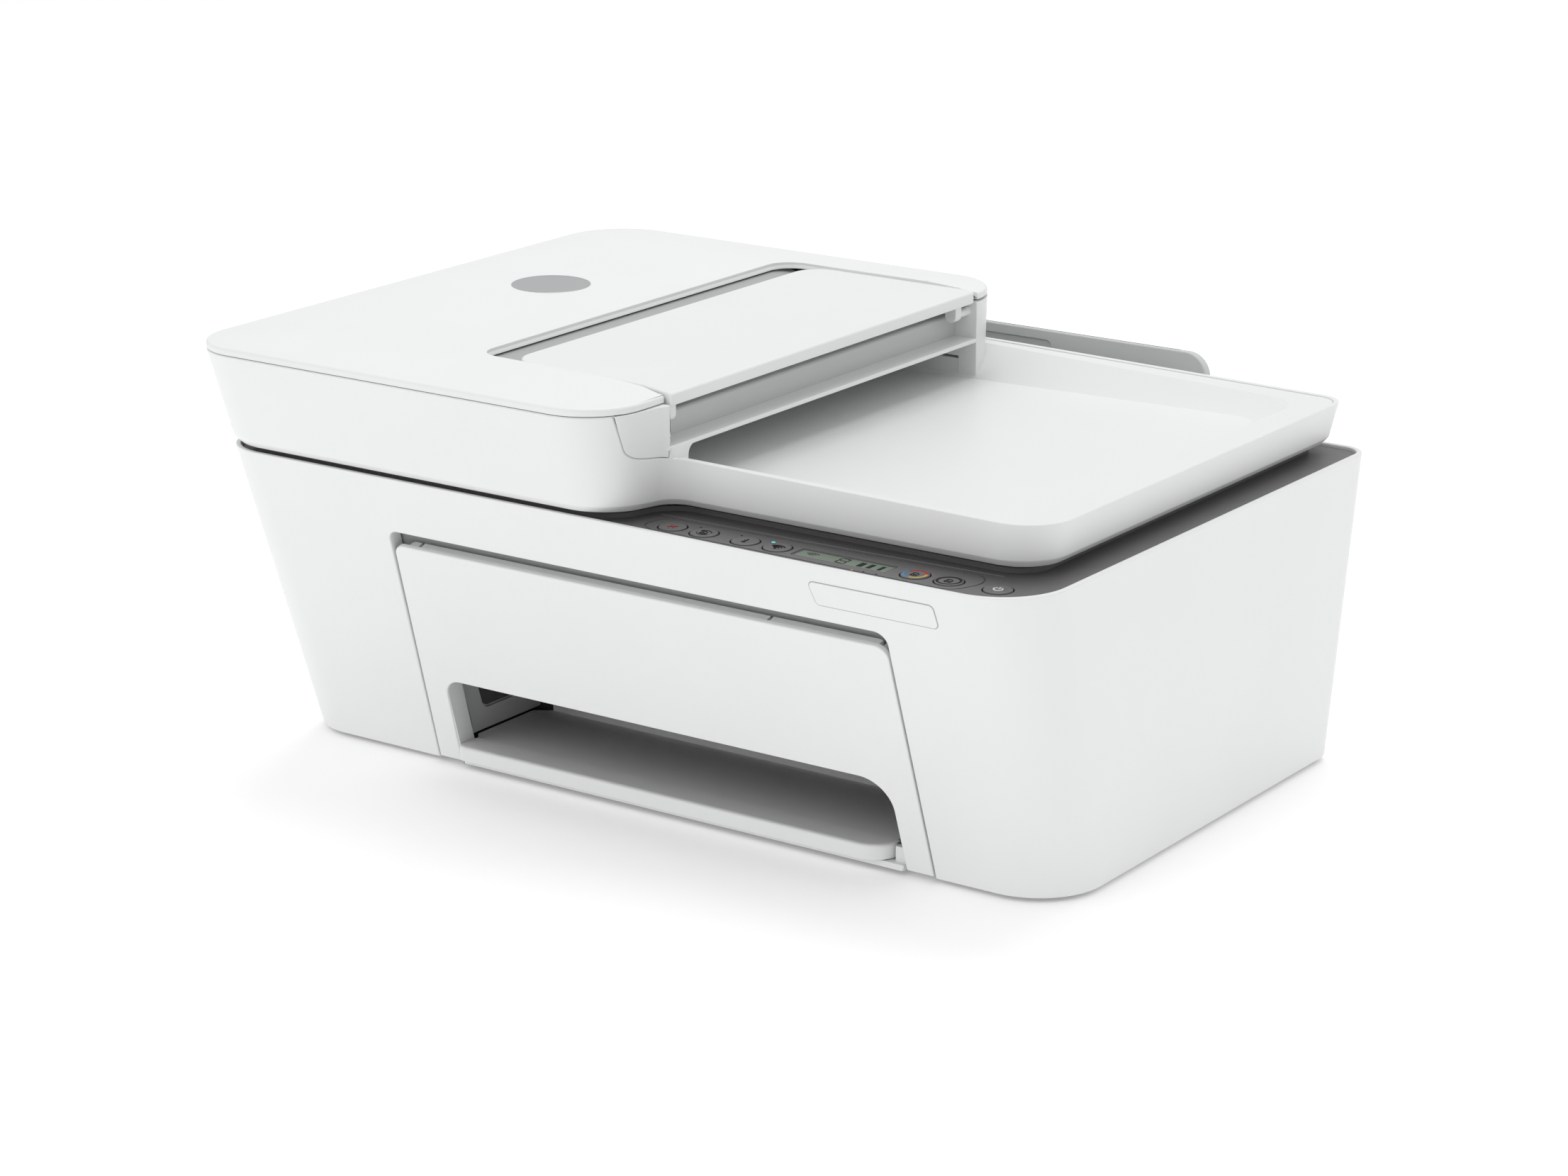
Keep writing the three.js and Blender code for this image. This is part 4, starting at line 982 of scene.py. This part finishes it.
def dish_levels():
    """The dish's height and its right, front and rear edges, from its floor to above the rim."""
    floor = (156.2, 182, -106, 117)
    knee = (160.6, 194, -112.5, 124)
    above_rim = (176, 208, -116.4, 144)
    keys = [floor, floor, knee, above_rim]
    edges = [bezier([(key[0], key[side]) for key in keys], DISH_STEPS) for side in (1, 2, 3)]
    return [(right[0], right[1], front[1], rear[1]) for right, front, rear in zip(*edges)]


def stack_tray():
    tray = skin("stack_tray_dish", [lid_ring(z, WALL + 0.25, 12) for z in (153.6, 172)])
    beyond_left = block("left", -250, -78, 100, 210)
    dish = dish_cutter()
    under_feeder = block("under", -260, -34, 166, 210)
    cut(tray, beyond_left, rim_cutter("rim", -100, 0.6), under_feeder, dish)
    finished(tray, "lid", WHITE, ["stack_tray"], 34)


def dish_cutter():
    """The hollow of the stacking tray, tilted down towards the feeder."""
    left = -95
    tilt = Matrix.Rotation(-0.02, 4, "Y")
    rings = []
    for z, right, front, rear in dish_levels():
        corners = [(left, front, 0), (right, front, 20), (right, rear, 16), (left, rear, 0)]
        rings.append(lifted(rounded(corners, 14, 8), z))
    return skin("dish", rings, tilt)


# ---------------------------------------------------------------- the document feeder
def rear_wall_corners(z):
    """The feeder's thick rear wall in plan, just inside the lid's own skin."""
    clear = 0.15
    left, front = -60, 118.6
    end = FEEDER_END - clear
    rear = lid_corners(z)[4][1] - clear
    rear_right = (end, rear, feeder_rounding(z) - clear)
    return [(left, front, 0.5), (end, front, 0.5), rear_right, (left, rear, 0.5)]


def feeder_end_cap():
    cap = skin("feeder_end_cap", [lid_ring(z, 0) for z in (171, 180, FEEDER_TOP)])
    room = plate("room", end_cap_room(0.35, FEEDER_END), [(122, 0), (170, 0)], FACING_FRONT)
    common(cap, room)
    soften(cap, 0.4, 45)
    finished(cap, "lid", WHITE, ["feeder_frame"], 34)


def feeder_shelf():
    outline = rectangle(-80, FEEDER_END - 0.2, -123, 120, 1.5)
    shelf = plate("feeder_shelf", outline, soft_edges(173.8, 175.8, 0.5, 0.6))
    finished(shelf, "lid", WHITE)


def feeder_throat():
    """The pale ramp and upright behind the mouth of the feeder, seen from the front."""
    side = [
        (-96, 184.4, 0.6),
        (-60, 188.2, 6),
        (11.4, 184.7, 0.4),
        (11.4, 175.2, 0),
        (13.2, 175.2, 0),
        (13.2, 186.5, 1.6),
        (-60, 190.4, 8),
        (-96, 186.6, 0.6),
    ]
    throat = plate("feeder_throat", side, soft_edges(-122, 124, 0.2, 0.2, 2), FACING_FRONT)
    finished(throat, "lid", PALE)


def feeder_rear_leg():
    rings = [lifted(rounded(rear_wall_corners(z), 16), z) for z in (156, 193.2)]
    leg = skin("feeder_rear_leg", rings)
    cut(leg, prism("room", [(-70, 100), (15, 100), (15, 200), (-70, 200)], 150, 166.2))
    finished(leg, "lid", WHITE)


def tray_guide_rail():
    outline = rectangle(-46, 14.6, 119.2, 128, 0.8)
    rail = plate("tray_guide_rail", outline, soft_edges(155, 164.8, 0.2, 0.6))
    finished(rail, "lid", WHITE)


def feeder_front_leg():
    """The leg under the feeder's front right corner, trimmed to the lid's outline."""
    side = [
        (-121.5, 158.5, 0.6),
        (-109, 158.5, 0.6),
        (-109, 173.9, 4.4),
        (-102, 173.9, 0.1),
        (-102, 175, 0.3),
        (-121.5, 175, 0.3),
    ]
    depth = soft_edges(14.4, FEEDER_END - 0.1, 0.3, 0.5)
    leg = plate("feeder_front_leg", side, depth, FACING_RIGHT)
    common(leg, skin("inside", [lid_ring(z, 0.15) for z in (150, 180)]))
    finished(leg, "lid", WHITE)


def feeder_side_plates():
    """The dark plates inside the feeder that carry its rollers."""
    left, right, low, high = -152, 18, 158, 192.6
    side = [
        (left, low, 1),
        (-100, low, 1),
        (-90, 173.8, 2),
        (right, 173.8, 1),
        (right, high, 1),
        (left, high, 1),
    ]
    for name, y in [("feeder_front_plate", -125), ("feeder_rear_plate", 122)]:
        inner = plate(name, side, soft_edges(-y - 3, -y, 0.3, 0.3), FACING_FRONT)
        finished(inner, "lid", DARK)


def cover_corners(inset):
    """The cover's outline: the lid's own, carried on to the feeder's right end."""
    corners = drawn_in(lid_corners(FEEDER_TOP), inset)
    left, front = corners[0][:2]
    rear = corners[-1][1]
    return [
        (left, front, 27 - min(inset, 20)),
        (FEEDER_END - inset - 4, front, 28 - min(inset, 20)),
        (FEEDER_END - inset, rear, feeder_rounding(FEEDER_TOP) - min(inset, 20)),
        (left, rear, 32 - min(inset, 24)),
    ]


NOTCH = [
    (-85, -113, 10),
    (8, -116.8, 8),
    (40, -128.2, 0),
    (40, 120.4, 0),
    (8, 119.2, 8),
    (-85, 119, 12),
]


def feeder_cover():
    """The crowned cover, open below and notched where the document panel lies."""
    seam = FEEDER_TOP + 0.4
    edge_top, edge_round, crown, crown_reach = 196.3, 1.3, 2.1, 40
    shoulder = edge_top + edge_round
    levels = [(seam, 0.25), (seam + 0.25, 0.0), (edge_top, 0.0)]
    levels += [(shoulder - short, drawn) for short, drawn in quarter_round(edge_round, 5)[1:]]
    for step in range(1, 9):
        t = step / 8
        levels.append((shoulder + crown * math.sin(t * math.pi / 2), edge_round + crown_reach * t))
    rings = [lifted(rounded(cover_corners(inset), 16, 6), z) for z, inset in levels]
    cover = skin("feeder_cover_shell", rings)
    under = plate("under", cover_corners(3), [(seam - 1, 0), (196.4, 0.5)])
    flare = [(180, 0), (196.6, 0), (197.4, -0.2), (198.2, -0.8), (203, -0.8)]
    notch = plate("notch", NOTCH, flare, steps=12)
    cut(cover, under, notch)
    soften(cover, 0.35, 50)
    finished(cover, "feeder_top", WHITE_COVER, ["feeder_cover"], 34)


def finger_strip():
    """The gray strip beside the panel, hollowed so that a finger can lift the panel's edge."""
    side = [
        (-90, 194.2, 0.3),
        (-86, 195.8, 0.5),
        (-71, 192.9, 4),
        (-62, 192.2, 0.4),
        (-62, 190.6, 0.4),
        (-90, 192.6, 0.4),
    ]
    strip = plate("finger_strip", side, soft_edges(-119.5, 116, 0.3, 0.3), FACING_FRONT)
    finished(strip, "lid", STRIP_GRAY_AND_PAINTED_SHADE)


def cover_disc():
    """A round plain disc, very slightly dished."""
    profile = [(18.6, 199.2), (18.6, 199.86), (18.35, 199.98), (17.6, 199.98), (17.3, 199.9)]
    disc = turned("cover_disc", -144, 12, profile, 72)
    finished(disc, "feeder_top", DISC)


def feeder_panel():
    left, rear = -69.5, 118
    corners = [
        (left, -112, 14),
        (6, -115.2, 10),
        (FEEDER_END, -121.4, 0.8),
        (FEEDER_END, rear, 4),
        (left, rear, 14),
    ]
    panel = plate("feeder_panel_shell", corners, soft_edges(193.2, 198.6, 0.4, 1.0, 6), steps=14)
    hollow = plate("hollow", drawn_in(corners, 2.2), [(192, 0), (196.4, 0.4)])
    cut(panel, hollow)
    join(panel, *panel_lugs(), *panel_pins())
    finished(panel, "feeder_tray", WHITE, ["feeder_panel"], 34)


def panel_lugs():
    outline = [(16.5, 185.4, 2.9), (22.5, 185.4, 2.9), (22.5, 197, 0.4), (16.5, 197, 0.4)]
    return [
        plate("lug", outline, soft_edges(-y1, -y0, 0.3, 0.3), FACING_FRONT)
        for y0, y1 in [(-119.6, -114.6), (104, 109)]
    ]


def panel_pins():
    section = circle(PANEL_PIN.x, PANEL_PIN.z, PIN_RADIUS, 32)
    return [
        skin("pin", [[(p.x, y, p.y) for p in section] for y in ends])
        for ends in [(-127, -117), (106, 120)]
    ]


# ---------------------------------------------------------------- the rear input
REAR_FRAME = Matrix.Translation((0, 152.4, 96)) @ Matrix.Rotation(math.radians(-8), 4, "X")
# In the tray's frame X is across, Y is back and Z is up. Outlines are drawn in X and Z.
REAR_FACE = REAR_FRAME @ Matrix.Rotation(math.pi / 2, 4, "X")


def rear_tray():
    left, right, height, thickness = -130, 123.5, 77.5, 5.5
    outline = [(left, 0, 1), (right, 0, 1), (right, height, 12), (left, height, 12)]
    tray = plate("rear_tray", outline, soft_edges(-thickness, 0, 0.8, 0.8), REAR_FACE, 12)
    pocket_outline = rectangle(left + 18, right - 16, 8, height + 6, 3)
    pocket = plate("pocket", pocket_outline, [(-4.3, 0), (-1.8, 0)], REAR_FACE)
    grip_outline = rectangle(-62, 40, height - 13, height - 4.5, 4)
    grip = plate("grip", grip_outline, [(-1.4, 0.8), (-0.6, 0.2), (1, -0.4)], REAR_FACE)
    cut(tray, pocket, grip)
    finished(tray, "rear_tray", PALE, ["input_tray"])
    sheet_outline = rectangle(left + 19, right - 17, 9, height - 1.5, 3)
    depth = soft_edges(-3.9, -2.2, 0.3, 0.3)
    sheet = plate("rear_tray_extension_plate", sheet_outline, depth, REAR_FACE)
    finished(sheet, "rear_tray_extension", PALE, ["input_tray_extension"])


def rear_housing():
    """The hollow box behind the case that the input tray stands in."""
    left, right, rear, bottom, top = -136, 129.5, 151.6, 40, 141
    wall, before_case = 2.5, -125
    near = CASE_REAR + REAR_SLOPE * (top - CASE_BOTTOM) + 0.4
    side = [(near, bottom, 0.6), (rear, bottom, 2), (rear, top, 2), (near, top, 0.6)]
    box = plate("rear_housing_box", side, soft_edges(left, right, 1.5, 1.5), FACING_RIGHT)
    mouth_outline = rectangle(left + 4.5, right - 4.5, 98, 150, 0)
    mouth = plate("mouth", mouth_outline, [(-160, 0), (before_case, 0)], FACING_FRONT)
    hollow_outline = rectangle(left + wall, right - wall, bottom + wall, 95.5, 2)
    hollow = plate("hollow", hollow_outline, [(wall - rear, 0), (before_case, 0)], FACING_FRONT)
    cut(box, mouth, hollow)
    finished(box, "printer", GRAY, ["rear_housing"])


# ---------------------------------------------------------------- the CAD nodes that stay
KEPT = {
    GRAY: ["bottom_pan", "lid_hinge_left", "lid_hinge_right", "paper_guide_left", "paper_guide_right"],
    RUBBER: ["foot_front_left", "foot_front_right", "foot_rear_left", "foot_rear_right", "drive_belt",
             "pick_roller", "feeder_drive_roller", "feeder_pick_roller", "feeder_exit_roller"],
    DARK: ["chassis", "platen", "carriage", "scanner_tub", "scan_head", "power_supply", "exit_roller"],
    BLACK: ["colour_cartridge", "black_cartridge"],
    PALE: ["colour_latch", "black_latch", "idler_pulley", "paper_pinion", "service_station",
           "document_guide_front", "document_guide_rear"],
    STEEL: ["carriage_rod", "motor_pulley", "carriage_motor", "paper_motor", "feed_roller"],
    BOARD: ["main_board", "control_board"],
    GLASS: ["scanner_glass"],
    FOAM: ["lid_pad"],
}


def dress_kept_nodes():
    for material, names in KEPT.items():
        for name in names:
            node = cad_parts[name]
            for place in node.material_slots:
                place.material = material


# ---------------------------------------------------------------- the studio
def camera():
    data = bpy.data.cameras.new("camera")
    data.lens = 90.75
    data.sensor_width = 36
    data.clip_end = 20
    seeing = bpy.data.objects.new("camera", data)
    seeing.location = Vector((986.1, -1412.5, 603.9)) * MM
    azimuth, elevation = math.radians(34.98), math.radians(16.95)
    seeing.rotation_euler = (math.pi / 2 - elevation, 0, azimuth)
    bpy.context.scene.collection.objects.link(seeing)
    bpy.context.scene.camera = seeing


def studio_floor():
    """A wide pale floor. It glows a little, so that it stays as pale as the background."""
    far = 9000
    outline = [(-far, -far), (far, -far), (far, far), (-far, far)]
    floor = prism("floor", outline, -20, -0.05)
    gray = (0.93, 0.93, 0.93)
    glow = {"Emission Color": (1, 1, 1, 1), "Emission Strength": 0.22}
    paint = surface("floor_paint", gray, 0.75, depth=0.0, broad=3.0, vary=0.004, sockets=glow)
    floor.data.materials.append(paint)


# Each light's name, place in metres, width in metres and power in watts.
LIGHTS = [
    ("key", (-0.9, -2.0, 1.5), 1.6, 7.5),
    ("side", (1.5, 1.8, 1.2), 1.0, 2.5),
    ("top", (-0.2, 0.8, 2.6), 1.8, 26),
]
LIT_POINT = Vector((0, 0, 0.1))


def studio_light():
    world = bpy.data.worlds.new("studio")
    world.use_nodes = True
    sky = world.node_tree.nodes["Background"]
    set_inputs(sky, {"Color": (1, 1, 1, 1), "Strength": 0.68})
    bpy.context.scene.world = world
    for name, at, size, power in LIGHTS:
        data = bpy.data.lights.new(name, "AREA")
        data.shape = "SQUARE"
        data.size = size
        data.energy = power
        light = bpy.data.objects.new(name, data)
        light.location = at
        light.rotation_euler = (LIT_POINT - Vector(at)).to_track_quat("-Z", "Y").to_euler()
        bpy.context.scene.collection.objects.link(light)
    bpy.context.scene.view_settings.view_transform = "Standard"


# ---------------------------------------------------------------- putting it together
case_shell()
opening_flange()
front_badge()
front_door()
door_header()
output_floor()
tray_lip()
slot_side_panel()
front_strip()
deck()
for button_name in BUTTON_X:
    button_cap(button_name)
cancel_icon()
resume_icon()
info_icon()
wireless_icon()
colour_copy_icon()
black_copy_icon()
power_icon()
deck_marks()
display()
lid_shell()
lid_bumpers()
stack_tray()
feeder_end_cap()
feeder_shelf()
feeder_throat()
feeder_rear_leg()
tray_guide_rail()
feeder_front_leg()
feeder_side_plates()
feeder_cover()
finger_strip()
cover_disc()
feeder_panel()
rear_tray()
rear_housing()
dress_kept_nodes()
camera()
studio_floor()
studio_light()
